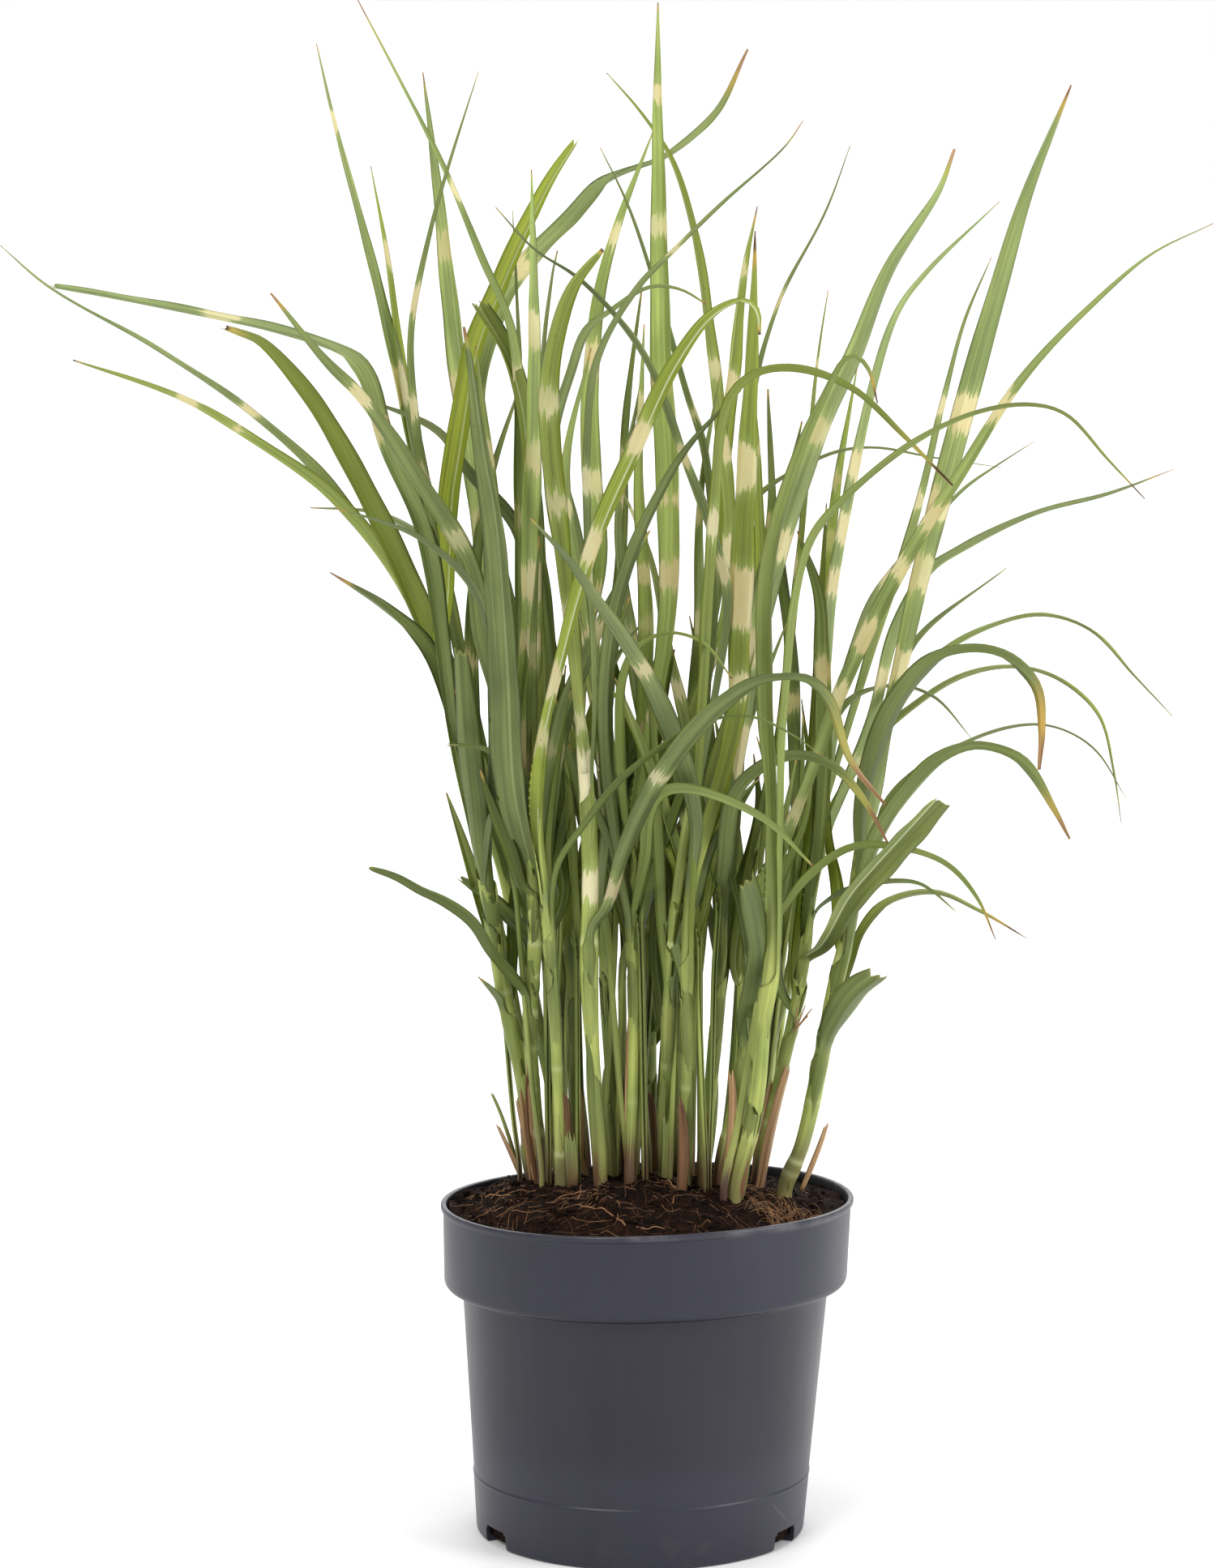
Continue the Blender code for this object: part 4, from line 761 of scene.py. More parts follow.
def add_culm(build, name, seed):
    """The round stem: sheath over sheath, a small step and a pale lip at each collar."""
    draw = random.Random(seed)
    curve, split = whole_curve(name)
    rows = evenly(curve, STEM_STEP)
    run = run_of(rows)
    full = run_of(evenly(curve[:split], STEM_STEP))[-1]
    keep = run <= full + STEM_ON
    rows, run = rows[keep], run[keep]
    radius = stem_radius(name, rows[:, 2])
    pale = np.zeros(len(rows))
    downs = drawn(rows)[:, 1]
    for table in (SIDE_LEAVES, SMALL_LEAVES):
        for leaf in leaves_of(table, name):
            collar = np.argmin(np.abs(downs - table[leaf]["entry"][1]))
            below = run[collar] + SHEATH_LENGTH * 0.55 - run
            sheath = smooth_part(below, -0.0004, 0.0022) * (1.0 - smooth_part(below, 0.01, 0.085))
            pale = np.maximum(pale, np.exp(-((below - 0.0008) / 0.0016) ** 2))
            node = below - NODE_BELOW - draw.uniform(0.0, 0.03)
            radius = radius + COLLAR_STEP * sheath + NODE_SWELL * np.exp(-(node / 0.0040) ** 2)
            pale = np.maximum(pale, 0.55 * np.exp(-(node / 0.0014) ** 2))
    radius = radius * (1.0 - 0.93 * smooth_part(run, full - STEM_THINS, full + STEM_ON))
    foot = rows[:, 2] - peat_height(rows[0, 0], rows[0, 1])
    radius = radius * (1.0 + 0.10 * np.exp(-np.clip(foot, 0, 1) / 0.012))
    fan = 1.0 + 0.12 * smooth_part(foot, 0.0, 0.020) * (1.0 - smooth_part(foot, 0.10, 0.19))
    fan = fan * (1.0 + (look(name, "flat", 1.0)[0] - 1.0) * smooth_part(foot, 0.06, 0.14))
    along = tangents(rows)
    side = unit(np.cross(along, (0.0, 1.0, 0.0)))
    back = np.cross(side, along)
    turns = np.linspace(0.0, math.tau, STEM_SIDES, endpoint=False)
    lobe = 1.0 + 0.05 * np.cos(turns * 2 + draw.uniform(0, 6.28))
    lobe = lobe + 0.02 * np.cos(turns * 5 + draw.uniform(0, 6.28))
    ring = []
    for turn, swell in zip(turns, lobe):
        wide = (radius * swell * fan)[:, None] * math.cos(turn)
        deep = (radius * swell)[:, None] * math.sin(turn)
        ring.append(rows + side * wide + back * deep)
    # Painted shade: a stem is painted darker the further back its foot stands in the clump, lighter in
    # front.
    light = min(1.15, max(0.55, 1.02 - STEMS[name]["entry"][1] * 0.0065))
    band = band_field(rows, run, look(name, "bands"))
    build.add_tube(ring, end_caps, (run[:, None], turns * 0.0033, seed % 97),
                   (band, -pale[:, None], 1.0), (light, look(name, "tone")[1], 1.0))


def add_top_leaf(build, name, seed):
    """The leaf a stem ends in: a roll round the stem's top that opens into a blade."""
    seen, true_mm, turn, _, tip_width = STEMS[name]["leaf"]
    curve, split = whole_curve(name)
    rows = evenly(curve, RING_STEP)
    angle = face_turn(seen, true_mm, turn)
    sign = upper_sign(rows, angle) * look(name, "face", 1.0)[0]
    across, off = frames(rows, angle, sign, look(name, "arch", ARCH_TURN)[0])
    run = run_of(rows)
    start = run_of(evenly(curve[:split], RING_STEP))[-1]
    keep = run >= max(start - 0.060, 0.012)
    rows, across, upper, run = rows[keep], across[keep], off[keep] * sign, run[keep]
    roll = float(stem_radius(name, stem_route(name)[-1].z)) + 0.0004
    wrap = 1.0 - smooth_part(run, start - 0.03, start + min(0.085, (run[-1] - start) * 0.4))
    width = blade_width(name, run, start, true_mm, tip_width, math.tau * roll * 0.97, wrap)
    middle = rows - upper * (roll * wrap ** 1.5)[:, None]
    add_blade(build, name, middle, across, upper, width, wrap, roll,
              RAGGED_MM if tip_width >= CUT_WIDTH else 0.0, seed)


def add_side_leaf(build, name, row, seed, gap=SMALL_GAP):
    """A leaf that leaves its stem at a collar, with its sheath rolled round the stem below."""
    stem, down, seen, true_mm, tip_mm, tip_width = row["entry"]
    route = row["route"]
    foot, along = on_stem(stem, down)
    goes_left = sum(across for across, _ in route) / len(route) < drawn(rows_of([foot]))[0, 0]
    goes_forward = tip_mm * MM < foot.y
    angle = face_turn(seen, true_mm, 1 if goes_left == goes_forward else -1)
    rough = rows_of([foot, *(sight(*place, foot.y) for place in route)])
    sign = upper_sign(rough, angle) * look(name, "face", 1.0)[0]
    level = along.cross(Vector((0.0, 1.0, 0.0))).normalized()
    turned_by = math.radians(angle - math.copysign(TWIST_TURN, angle) / 2)
    upper = (level.cross(along) * math.cos(turned_by) - level * math.sin(turned_by)) * sign
    radius = float(stem_radius(stem, foot.z))
    low = []
    reaches = []
    for below, off in SHEATH_STEPS:
        found = on_stem(stem, down + below)
        if found and found[0].z > peat_height(found[0].x, found[0].y) + OUT_OF_PEAT:
            low.append(found[0] - upper * (radius + off))
            reaches.append(radius + off)
    reaches.append(radius + gap + BLADE_THICKNESS / 2)
    start = foot - upper * reaches[-1]
    leaf = leaf_route(start + along * SHEATH_LENGTH, start.y, tip_mm, route)
    rows = evenly(smooth_curve([*low, start, *leaf]), RING_STEP)
    run = run_of(rows)
    fixed = np.linalg.norm(rows[:, None, :] - rows_of([*low, start]), axis=2).argmin(axis=0)
    sheath = run[fixed[-1]]
    across, off = frames(rows, angle, sign, look(name, "arch", ARCH_TURN)[0])
    wrap = 1.0 - smooth_part(run, sheath + 0.004, sheath + min(0.034, (run[-1] - sheath) * 0.35))
    closed = 1.0 - smooth_part(run, sheath + 0.001, sheath + 0.0125)
    roll = np.interp(run, run[fixed], reaches)
    width = blade_width(name, run, sheath, true_mm, tip_width, math.tau * roll * 0.93, closed)
    add_blade(build, name, rows, across, off * sign, width, wrap, roll,
              RAGGED_MM if tip_width >= CUT_WIDTH else 0.0, seed)


def add_scrap(build, foot, tip, width_mm, dead, seed, roll):
    """A short cut sheath from its foot to its tip, a little bowed."""
    draw = random.Random(seed)
    bow = Vector((draw.uniform(-1, 1), draw.uniform(-1, 1), 0.0)) * (tip - foot).length * 0.03
    curve = smooth_curve([foot, foot.lerp(tip, 0.4) + bow, foot.lerp(tip, 0.75) + bow, tip])
    rows = evenly(curve, 0.0035)
    across, off = frames(rows, draw.uniform(-55, 55))
    part = np.linspace(0.0, 1.0, len(rows))
    width = width_mm * 0.8 * MM * (0.75 + 0.25 * smooth_part(part, 0.0, 0.4)) * (1.0 - 0.30 * part ** 3)
    wrap = np.linspace(1.0, 0.55, len(rows))
    add_blade(build, f"scrap_{seed}", rows, across, off, width, wrap, roll, min(9.0, width_mm), seed, dead)


# ---------------------------------------------------------------- material tools

def srgb(*values):
    """A colour written as a picture's 0 to 255 values, in linear light."""
    parts = [value / 255.0 for value in values]
    linear = [part / 12.92 if part <= 0.04045 else ((part + 0.055) / 1.055) ** 2.4 for part in parts]
    return (*linear, 1.0)


class Value:
    """What a node gives. Two of them, or one and a number, make the sum's node when added."""

    def __init__(self, graph, socket):
        self.graph = graph
        self.socket = socket

    def __add__(self, other):
        return self.graph.calc("ADD", self, other)

    def __sub__(self, other):
        return self.graph.calc("SUBTRACT", self, other)

    def __mul__(self, other):
        return self.graph.calc("MULTIPLY", self, other)


class Graph:
    """The nodes of one material, made by short calls that give back what they work out."""

    def __init__(self, name):
        self.material = bpy.data.materials.new(name)
        self.material.use_nodes = True
        self.tree = self.material.node_tree
        self.tree.nodes.clear()
        self.place = self.node("ShaderNodeTexCoord", {}, "Object")

    def node(self, kind, sockets, output=0, **settings):
        """A node with values or links in its sockets; gives one of its outputs, or all for None."""
        made = self.tree.nodes.new(kind)
        for key, value in settings.items():
            setattr(made, key, value)
        for key, value in sockets.items():
            if isinstance(value, Value):
                self.tree.links.new(value.socket, made.inputs[key])
            else:
                made.inputs[key].default_value = value
        if output is None:
            return [Value(self, socket) for socket in made.outputs]
        return Value(self, made.outputs[output])

    def calc(self, operation, *values):
        return self.node("ShaderNodeMath", dict(enumerate(values)), operation=operation)

    def between(self, value, low, high, least=0.0, most=1.0):
        """least where the value is at low, most at high, with a soft change."""
        sockets = {"Value": value, "From Min": low, "From Max": high, "To Min": least, "To Max": most}
        return self.node("ShaderNodeMapRange", sockets, "Result", interpolation_type="SMOOTHSTEP")

    def mix(self, part, first, second, blend="MIX"):
        return self.node("ShaderNodeMix", {0: part, 6: first, 7: second}, 2, data_type="RGBA",
                         blend_type=blend)

    def dim(self, colour, value):
        """The colour times a number."""
        grey = self.node("ShaderNodeCombineColor", {0: value, 1: value, 2: value})
        return self.mix(1.0, colour, grey, "MULTIPLY")

    def vector(self, *parts):
        return self.node("ShaderNodeCombineXYZ", dict(enumerate(parts)))

    def split(self, vector):
        return self.node("ShaderNodeSeparateXYZ", {0: vector}, None)

    def mark(self, name):
        """The three numbers of a vector that the mesh carries."""
        return self.split(self.node("ShaderNodeAttribute", {}, "Vector", attribute_name=name))

    def noise(self, vector, scale=1.0, detail=2.0, roughness=0.5):
        sockets = {"Vector": vector, "Scale": scale, "Detail": detail, "Roughness": roughness}
        return self.node("ShaderNodeTexNoise", sockets, "Fac")

    def bump(self, height, strength, distance):
        sockets = {"Height": height, "Strength": strength, "Distance": distance}
        return self.node("ShaderNodeBump", sockets, "Normal")

    def skin(self, colour, roughness, specular, **more):
        sockets = {"Base Color": colour, "Roughness": roughness, "Specular IOR Level": specular}
        return self.node("ShaderNodeBsdfPrincipled", {**sockets, **more})

    def show(self, shader):
        self.node("ShaderNodeOutputMaterial", {"Surface": shader}, None)
        return self.material


def blade_material():
    """Green blades with cream bands, veins, a pale midrib and dry tips; pale-collared stems; painted light
    and shade.
    """
    g = Graph("banded_leaf")
    along, over, own = g.mark("place")
    band, dry_mark, rolled = g.mark("marks")
    light, olive, up_side = g.mark("tint")
    height = g.split(g.place)[2]
    shift = own * 3.7

    def streaks(wide, long, row=shift, detail=2.0):
        """Noise that is drawn out along the blade."""
        return g.noise(g.vector(over * wide, along * long, row), detail=detail)

    def by_leaf(row, scale, low, high, least=0.0):
        """A number of a leaf's own."""
        return g.between(g.noise(g.vector(own, row, 0.0), scale), low, high, least)

    veins = streaks(1500.0, 12.0)
    fine = streaks(5200.0, 55.0)
    blotch = streaks(70.0, 17.0)
    ragged = streaks(1150.0, 30.0, detail=3.0)
    streak = streaks(430.0, 3.5)
    halves = streaks(190.0, 5.0, shift + 9.0)
    clouds = g.between(blotch, 0.3, 0.7)
    firm = g.between(rolled, 0.5, 1.0)

    # Painted light: olive mixes in the yellow-olive of light shining through a blade.
    green = g.mix(olive, g.mix(clouds, srgb(135, 152, 92), srgb(168, 181, 114)), srgb(160, 174, 50))
    under = g.mix(0.30, green, srgb(152, 168, 118))
    green = g.mix(g.between(up_side, 0.0, 0.2), under, green)
    # Painted light and shade: light makes the whole blade lighter or darker, and over paints one half of
    # its fold lighter than the other; veins and streaks are its own.
    bright = light * g.between(veins, 0.2, 0.8, 0.80, 1.16) * g.between(streak, 0.3, 0.7, 0.86, 1.20)
    green = g.dim(green, bright * g.between(over, -0.0008, 0.0008, 0.93, 1.08))
    # Painted shade: blades that light paints darker also turn a more saturated yellow-green.
    shade = g.mix(g.between(light, 0.42, 0.70), srgb(246, 255, 178), srgb(255, 255, 255))
    green = g.mix(1.0, green, shade, "MULTIPLY")
    rib = g.between(g.calc("ABSOLUTE", over), 0.0003, 0.0008, 1.0, 0.0) * up_side
    green = g.mix(rib * g.between(rolled, 0.0, 0.4, 1.0, 0.0), green, srgb(214, 222, 178))

    # Painted light and shade on stems: light makes them lighter or darker; veins, streaks and clouds are
    # their own.
    bright = g.between(veins, 0.2, 0.8, 0.80, 1.10) * g.between(streak, 0.3, 0.7, 0.84, 1.12)
    stem = g.dim(g.mix(clouds, srgb(116, 131, 60), srgb(168, 178, 92)),
                 bright * g.between(light, 0.5, 1.1, 0.68, 1.20))
    green = g.mix(g.between(rolled, 0.35, 0.95), green, stem)

    inside = band + ((ragged - 0.5) * 19.0 + (halves - 0.5) * 16.0)
    colour = g.mix(g.between(inside, -9.0, 1.0, 0.0, 0.30), green, srgb(190, 206, 128))
    cream = g.mix(g.between(blotch, 0.35, 0.75), srgb(234, 228, 186), srgb(224, 213, 166))
    cream = g.dim(cream, g.between(fine, 0.2, 0.8, 0.90, 1.04))
    # Painted shade: cream bands are painted darker on blades that light paints darker.
    cream = g.dim(cream, g.between(light, 0.5, 1.0, 0.80, 1.0))
    fade = g.noise(g.vector(0.0, along * 11.0, own * 5.1))
    whole = g.between(fade, 0.32, 0.52, 0.50, 1.0)
    colour = g.mix(g.between(inside, -0.7, 1.2) * whole, colour, cream)

    low = g.between(height, 0.195, 0.245, 1.0, 0.0) * firm
    colour = g.mix(low * 0.6, colour, srgb(164, 164, 96))
    wine = g.mix(by_leaf(0.0, 0.37, 0.45, 0.55), srgb(94, 63, 44), srgb(74, 40, 46))
    uneven = height + (veins - 0.5) * 0.05 + (blotch - 0.5) * 0.05
    stained = g.between(uneven, 0.195, 0.226, 1.0, 0.0) * firm
    colour = g.mix(stained * by_leaf(7.0, 0.47, 0.36, 0.62, 0.45), colour, wine)

    pale = g.calc("MAXIMUM", dry_mark * -1.0, 0.0) * 0.60
    colour = g.mix(pale, colour, srgb(208, 210, 152))
    dry = g.calc("MAXIMUM", dry_mark, 0.0) + (ragged - 0.5) * 0.5
    dry = dry * g.between(dry_mark, 0.0, 0.08)
    straw = g.mix(by_leaf(2.0, 0.41, 0.42, 0.58), srgb(186, 182, 96), srgb(204, 170, 84))
    colour = g.mix(g.between(dry, 0.08, 0.50, 0.0, 0.85), colour, straw)
    grain = g.between(veins, 0.25, 0.75)
    tan = g.mix(grain, srgb(130, 92, 60), srgb(206, 170, 124))
    dark = g.mix(grain, srgb(66, 40, 28), srgb(140, 100, 66))
    brown = g.mix(g.between(olive, 0.40, 0.60), tan, dark)
    colour = g.mix(g.between(dry, 0.56, 0.92), colour, brown)
    speck = g.noise(g.place, 420.0, 1.0)
    colour = g.mix(g.between(speck, 0.76, 0.80, 0.0, 0.45), colour, srgb(120, 92, 60))

    normal = g.bump(veins * 0.7 + fine * 0.3, 0.55, 0.0004)
    skin = g.skin(colour, g.between(veins, 0.2, 0.8, 0.40, 0.56), 0.42, Normal=normal)
    lit = g.mix(1.0, colour, srgb(255, 250, 150), "MULTIPLY")
    through = g.node("ShaderNodeBsdfTranslucent", {"Color": lit, "Normal": normal})
    part = g.between(rolled, 0.2, 0.9, 0.36, 0.04)
    return g.show(g.node("ShaderNodeMixShader", {0: part, 1: skin, 2: through}))


def pot_material():
    """Slate-grey moulded plastic, satin, with faint flow lines, scuffs, dust near the foot and a painted
    floor reflection below.
    """
    g = Graph("moulded_pot")
    x, y, z = g.split(g.place)
    cloud = g.noise(g.place, 14.0, 3.0)
    clouds = g.between(cloud, 0.3, 0.7)
    flow = g.noise(g.vector(x * 90.0, y * 90.0, z * 5.0))
    colour = g.mix(clouds, srgb(28, 27, 37), srgb(34, 33, 45))
    colour = g.mix(g.between(flow, 0.3, 0.75, 0.0, 0.18), colour, srgb(42, 42, 54))
    # Painted reflection: below about 5 cm the pot is painted lighter and bluer, as the white floor
    # reflected in it.
    reflection_height = z + (cloud - 0.5) * 0.02
    colour = g.mix(g.between(reflection_height, 0.044, 0.064, 0.30, 0.0), colour, srgb(52, 52, 68))
    colour = g.mix(g.between(z, SHOULDER, SHOULDER + 0.004, 0.0, 0.35), colour, srgb(40, 40, 60))
    specks = g.noise(g.place, 60.0, 5.0, 0.65)
    dust = g.between(z, 0.0, 0.034, 1.0, 0.0) * g.between(specks, 0.50, 0.76)
    rim_dust = g.between(z, 0.1790, 0.1820) * g.between(specks, 0.40, 0.70, 0.1, 0.6)
    colour = g.mix(rim_dust, g.mix(dust * 0.16, colour, srgb(104, 82, 68)), srgb(92, 90, 94))
    scratches = g.noise(g.vector((x * 0.8 + z * 0.55) * 420.0, z * 26.0, 3.0), detail=1.0)
    where = g.between(g.noise(g.place, 9.0), 0.56, 0.68) * g.between(z, 0.02, 0.10, 1.0, 0.15)
    scuff = g.between(scratches, 0.72, 0.78) * where
    colour = g.mix(scuff * 0.55, colour, srgb(104, 100, 104))
    rough = g.between(cloud, 0.3, 0.7, 0.34, 0.42) + dust * 0.25
    normal = g.bump(g.noise(g.place, 1500.0) * 0.25 + flow * 0.75, 0.10, 0.0010)
    return g.show(g.skin(colour, rough, 0.38, Normal=normal))


def peat_material():
    """Dark moist peat: fibrous, with brown and near-black lumps."""
    g = Graph("moist_peat")
    lumps = g.noise(g.place, 70.0, 6.0, 0.7)
    crumbs = g.noise(g.place, 420.0, 4.0, 0.7)
    colour = g.mix(g.between(lumps, 0.35, 0.68), srgb(11, 6, 4), srgb(32, 18, 11))
    colour = g.mix(g.between(crumbs, 0.52, 0.72, 0.0, 0.7), colour, srgb(78, 44, 27))
    colour = g.mix(g.between(crumbs, 0.30, 0.42, 0.6, 0.0), colour, srgb(12, 8, 7))
    normal = g.bump(lumps * 0.5 + crumbs * 0.5, 0.9, 0.0025)
    return g.show(g.skin(colour, g.between(crumbs, 0.3, 0.7, 0.86, 1.0), 0.10, Normal=normal))


def fibre_material():
    """Root fibres and straw: tan to reddish brown, each its own shade."""
    g = Graph("root_fibre")
    along, over, own = g.mark("place")
    streak = g.noise(g.vector(over * 900.0, along * 220.0, own), detail=3.0)
    colour = g.mix(g.mark("tint")[0], srgb(86, 50, 33), srgb(184, 138, 94))
    colour = g.dim(colour, g.between(streak, 0.25, 0.75, 0.62, 1.12))
    rough = g.between(streak, 0.3, 0.7, 0.55, 0.75)
    return g.show(g.skin(colour, rough, 0.35, Normal=g.bump(streak, 0.4, 0.0003)))


# ---------------------------------------------------------------- pot

def rounded(profile, steps=5):
    """The profile (radius, height, rounding) with each corner rounded."""
    kept = []
    for i, (radius, height, rounding) in enumerate(profile):
        here = Vector((radius, height))
        if rounding == 0:
            kept.append(here)
            continue
        before = Vector(profile[i - 1][:2]) - here
        after = Vector(profile[i + 1][:2]) - here
        start = here + before.normalized() * min(rounding, before.length * 0.49)
        end = here + after.normalized() * min(rounding, after.length * 0.49)
        for step in range(steps + 1):
            t = step / steps
            kept.append(start * (1 - t) ** 2 + here * (2 * t * (1 - t)) + end * t ** 2)
    return kept


def turned_piece(name, steps, start, rings, end, material):
    """A closed turned piece: its start and end on the axis, and in between the corners of its rings."""
    corners = [(0.0, 0.0, start), *rings, (0.0, 0.0, end)]
    last = len(rings) + 1 - steps
    faces = [(face[0], *face[:0:-1]) for face in ring_faces(1, last, steps)]
    for side in range(steps):
        after = (side + 1) % steps
        faces += [(0, 1 + side, 1 + after), (len(rings) + 1, last + after, last + side)]
    return new_piece(name, corners, faces, material)


def pot_outline():
    """Half the pot's section: up its inside, over the rim and the band, and down to the foot."""
    ridge = BASE_RADIUS + (BODY_TOP_RADIUS - BASE_RADIUS) * RIDGE_HEIGHT / SHOULDER
    return rounded([
        (0.0, FLOOR, 0),
        (BASE_RADIUS - WALL, FLOOR, 0.004),
        (BODY_TOP_RADIUS - WALL, SHOULDER - 0.0015, 0.0015),
        (BAND_FOOT_RADIUS - WALL, SHOULDER + 0.0030, 0.003),
        (BAND_TOP_RADIUS - WALL, POT_HEIGHT - LIP, 0.001),
        (BAND_TOP_RADIUS - WALL + 0.0003, POT_HEIGHT, 0.0012),
        (RIM_RADIUS, POT_HEIGHT, 0.0013),
        (RIM_RADIUS, POT_HEIGHT - LIP, 0.0011),
        (BAND_TOP_RADIUS, POT_HEIGHT - LIP * 1.35, 0.0008),
        (BAND_FOOT_RADIUS, SHOULDER, 0.0040),
        (BODY_TOP_RADIUS + 0.0004, SHOULDER - 0.0022, 0.0018),
        (BODY_TOP_RADIUS - 0.0002, SHOULDER - 0.0060, 0.002),
        (ridge, RIDGE_HEIGHT + 0.0013, 0.0003),
        (ridge + 0.0005, RIDGE_HEIGHT + 0.0004, 0.0004),
        (ridge + 0.0001, RIDGE_HEIGHT - 0.0012, 0.0004),
        (BASE_RADIUS + 0.0002, 0.0, 0.0024),
        (0.0, 0.0, 0),
    ])


def leaning(height):
    """How far the soft pot leans to the right at a height."""
    return POT_LEAN * (height / POT_HEIGHT - 0.5)


def notch_cutter(angle):
    """The block that cuts a drain notch out of the pot's foot."""
    bm = bmesh.new()
    bmesh.ops.create_cube(bm, size=1.0)
    for corner in bm.verts:
        corner.co.x *= NOTCH_WIDTH * (1.10 if corner.co.z < 0 else 1.0)
        corner.co.y *= NOTCH_DEPTH * 2
        corner.co.z *= NOTCH_HEIGHT * 2
    deep = [edge for edge in bm.edges if abs(edge.verts[0].co.y - edge.verts[1].co.y) > NOTCH_DEPTH]
    bmesh.ops.bevel(bm, geom=deep, offset=0.0016, segments=4, affect="EDGES")
    mesh = bpy.data.meshes.new("notch")
    bm.to_mesh(mesh)
    bm.free()
    cutter = link("notch", mesh)
    turn = math.radians(angle)
    cutter.location = (BASE_RADIUS * math.sin(turn), -BASE_RADIUS * math.cos(turn), 0.0)
    cutter.rotation_euler = (0.0, 0.0, turn)
    return cutter


def make_pot(material):
    """The pot with its drain notches, a little soft: it leans, and its rim isn't quite round."""
    outline = pot_outline()
    turns = [math.tau * side / POT_STEPS for side in range(POT_STEPS)]
    rings = [(radius * math.cos(turn), radius * math.sin(turn), height)
             for radius, height in outline[1:-1] for turn in turns]
    pot = turned_piece("fine_pot", POT_STEPS, outline[0].y, rings, outline[-1].y, material)
    cutters = [notch_cutter(angle) for angle in NOTCH_ANGLES]
    for cutter in cutters:
        step = pot.modifiers.new("Notch", "BOOLEAN")
        step.operation = "DIFFERENCE"
        step.solver = "EXACT"
        step.object = cutter
    graph = bpy.context.evaluated_depsgraph_get()
    mesh = bpy.data.meshes.new_from_object(pot.evaluated_get(graph))
    pot.modifiers.clear()
    pot.data = mesh
    for cutter in cutters:
        bpy.data.objects.remove(cutter, do_unlink=True)
    rows = np.empty(len(mesh.vertices) * 3)
    mesh.vertices.foreach_get("co", rows)
    rows = rows.reshape(-1, 3)
    turn = np.arctan2(rows[:, 1], rows[:, 0])
    high = np.clip(rows[:, 2] / POT_HEIGHT, 0.0, 1.0) ** 2
    swell = 1.0 + 0.0030 * high * (np.cos(turn * 2 + 0.6) + 0.5 * np.cos(turn * 3 + 1.9))
    rows[:, :2] *= swell[:, None]
    rows[:, 2] -= 0.0006 * high * (1.0 + np.cos(turn * 3 + 0.4))
    rows[:, 2] += high * (0.0012 + 0.0024 * np.cos(turn))
    rows[:, 0] += leaning(rows[:, 2])
    mesh.vertices.foreach_set("co", rows.ravel())
    mesh.shade_smooth()
    mesh.set_sharp_from_angle(angle=math.radians(38))
    mesh.materials.clear()
    mesh.materials.append(material)
    hand_over(pot, "pot")


# ---------------------------------------------------------------- peat

def ground_height(x, y):
    """The fine height of the peat: the mound, clods and crumbs, heaped up along the rim's back."""
    place = Vector((x, y, 0.37))
    clods = noise.noise(place * 42.0) * 0.0026 + noise.noise(place * 95.0) * 0.0020
    crumbs = noise.noise(place * 240.0) * 0.0012 + noise.noise(place * 620.0) * 0.0006
    sharp = abs(noise.noise(place * 150.0)) * 0.0024
    out = math.hypot(x, y) / (BAND_TOP_RADIUS - WALL)
    heaped = 0.0135 * out ** 6 * float(smooth_part(y / 0.11, -0.85, -0.05))
    return peat_height(x, y) + clods + crumbs + sharp - 0.0018 + heaped


def make_soil(material):
    """The peat's fine top, closed below by a plain skirt and bottom inside the pot."""
    rings, sides = 96, 300
    turns = [math.tau * side / sides for side in range(sides)]
    reach = BAND_TOP_RADIUS - WALL - PEAT_GAP
    corners = []
    for ring in range(1, rings + 1):
        out = reach * (ring / rings) ** 0.9
        for turn in turns:
            x, y = out * math.cos(turn), out * math.sin(turn)
            height = ground_height(x, y)
            corners.append((x + leaning(height) * (out / reach) ** 6, y, height))
    bottom = FLOOR + 0.0006
    skirt = [(BAND_FOOT_RADIUS, SHOULDER + 0.0040), (BODY_TOP_RADIUS, SHOULDER - 0.0020),
             (BASE_RADIUS, bottom)]
    for radius, height in skirt:
        out = radius - WALL - PEAT_GAP
        corners += [(out * math.cos(turn) + leaning(height), out * math.sin(turn), height)
                    for turn in turns]
    soil = turned_piece("fine_soil", sides, ground_height(0.0, 0.0), corners, bottom, material)
    hand_over(soil, "soil")


def random_ground(draw, most=PEAT_REACH):
    """A random place on the peat, evenly over its area."""
    out = most * math.sqrt(draw.random())
    turn = draw.uniform(0.0, math.tau)
    return out * math.cos(turn), out * math.sin(turn)


def make_crumbs(material):
    """Loose clods and crumbs lying in the peat's surface."""
    draw = random.Random(7)
    bm = bmesh.new()
    for count, detail, least, most in CRUMBS:
        for _ in range(count):
            x, y = random_ground(draw, CRUMB_REACH)
            size = least + (most - least) * draw.random() ** 2.2
            made = bmesh.ops.create_icosphere(bm, subdivisions=detail, radius=size)["verts"]
            stretch = Vector((draw.uniform(0.7, 1.5), draw.uniform(0.7, 1.3), draw.uniform(0.5, 0.9)))
            seed = Vector((draw.uniform(0, 50), draw.uniform(0, 50), draw.uniform(0, 50)))
            place = Vector((x, y, ground_height(x, y) + size * 0.15))
            for corner in made:
                rough = 1.0 + 0.45 * noise.noise(corner.co / size * 1.1 + seed)
                corner.co = corner.co * stretch * rough + place
    mesh = bpy.data.meshes.new("peat_crumbs")
    bm.to_mesh(mesh)
    bm.free()
    mesh.materials.append(material)
    hand_over(link("peat_crumbs", mesh))


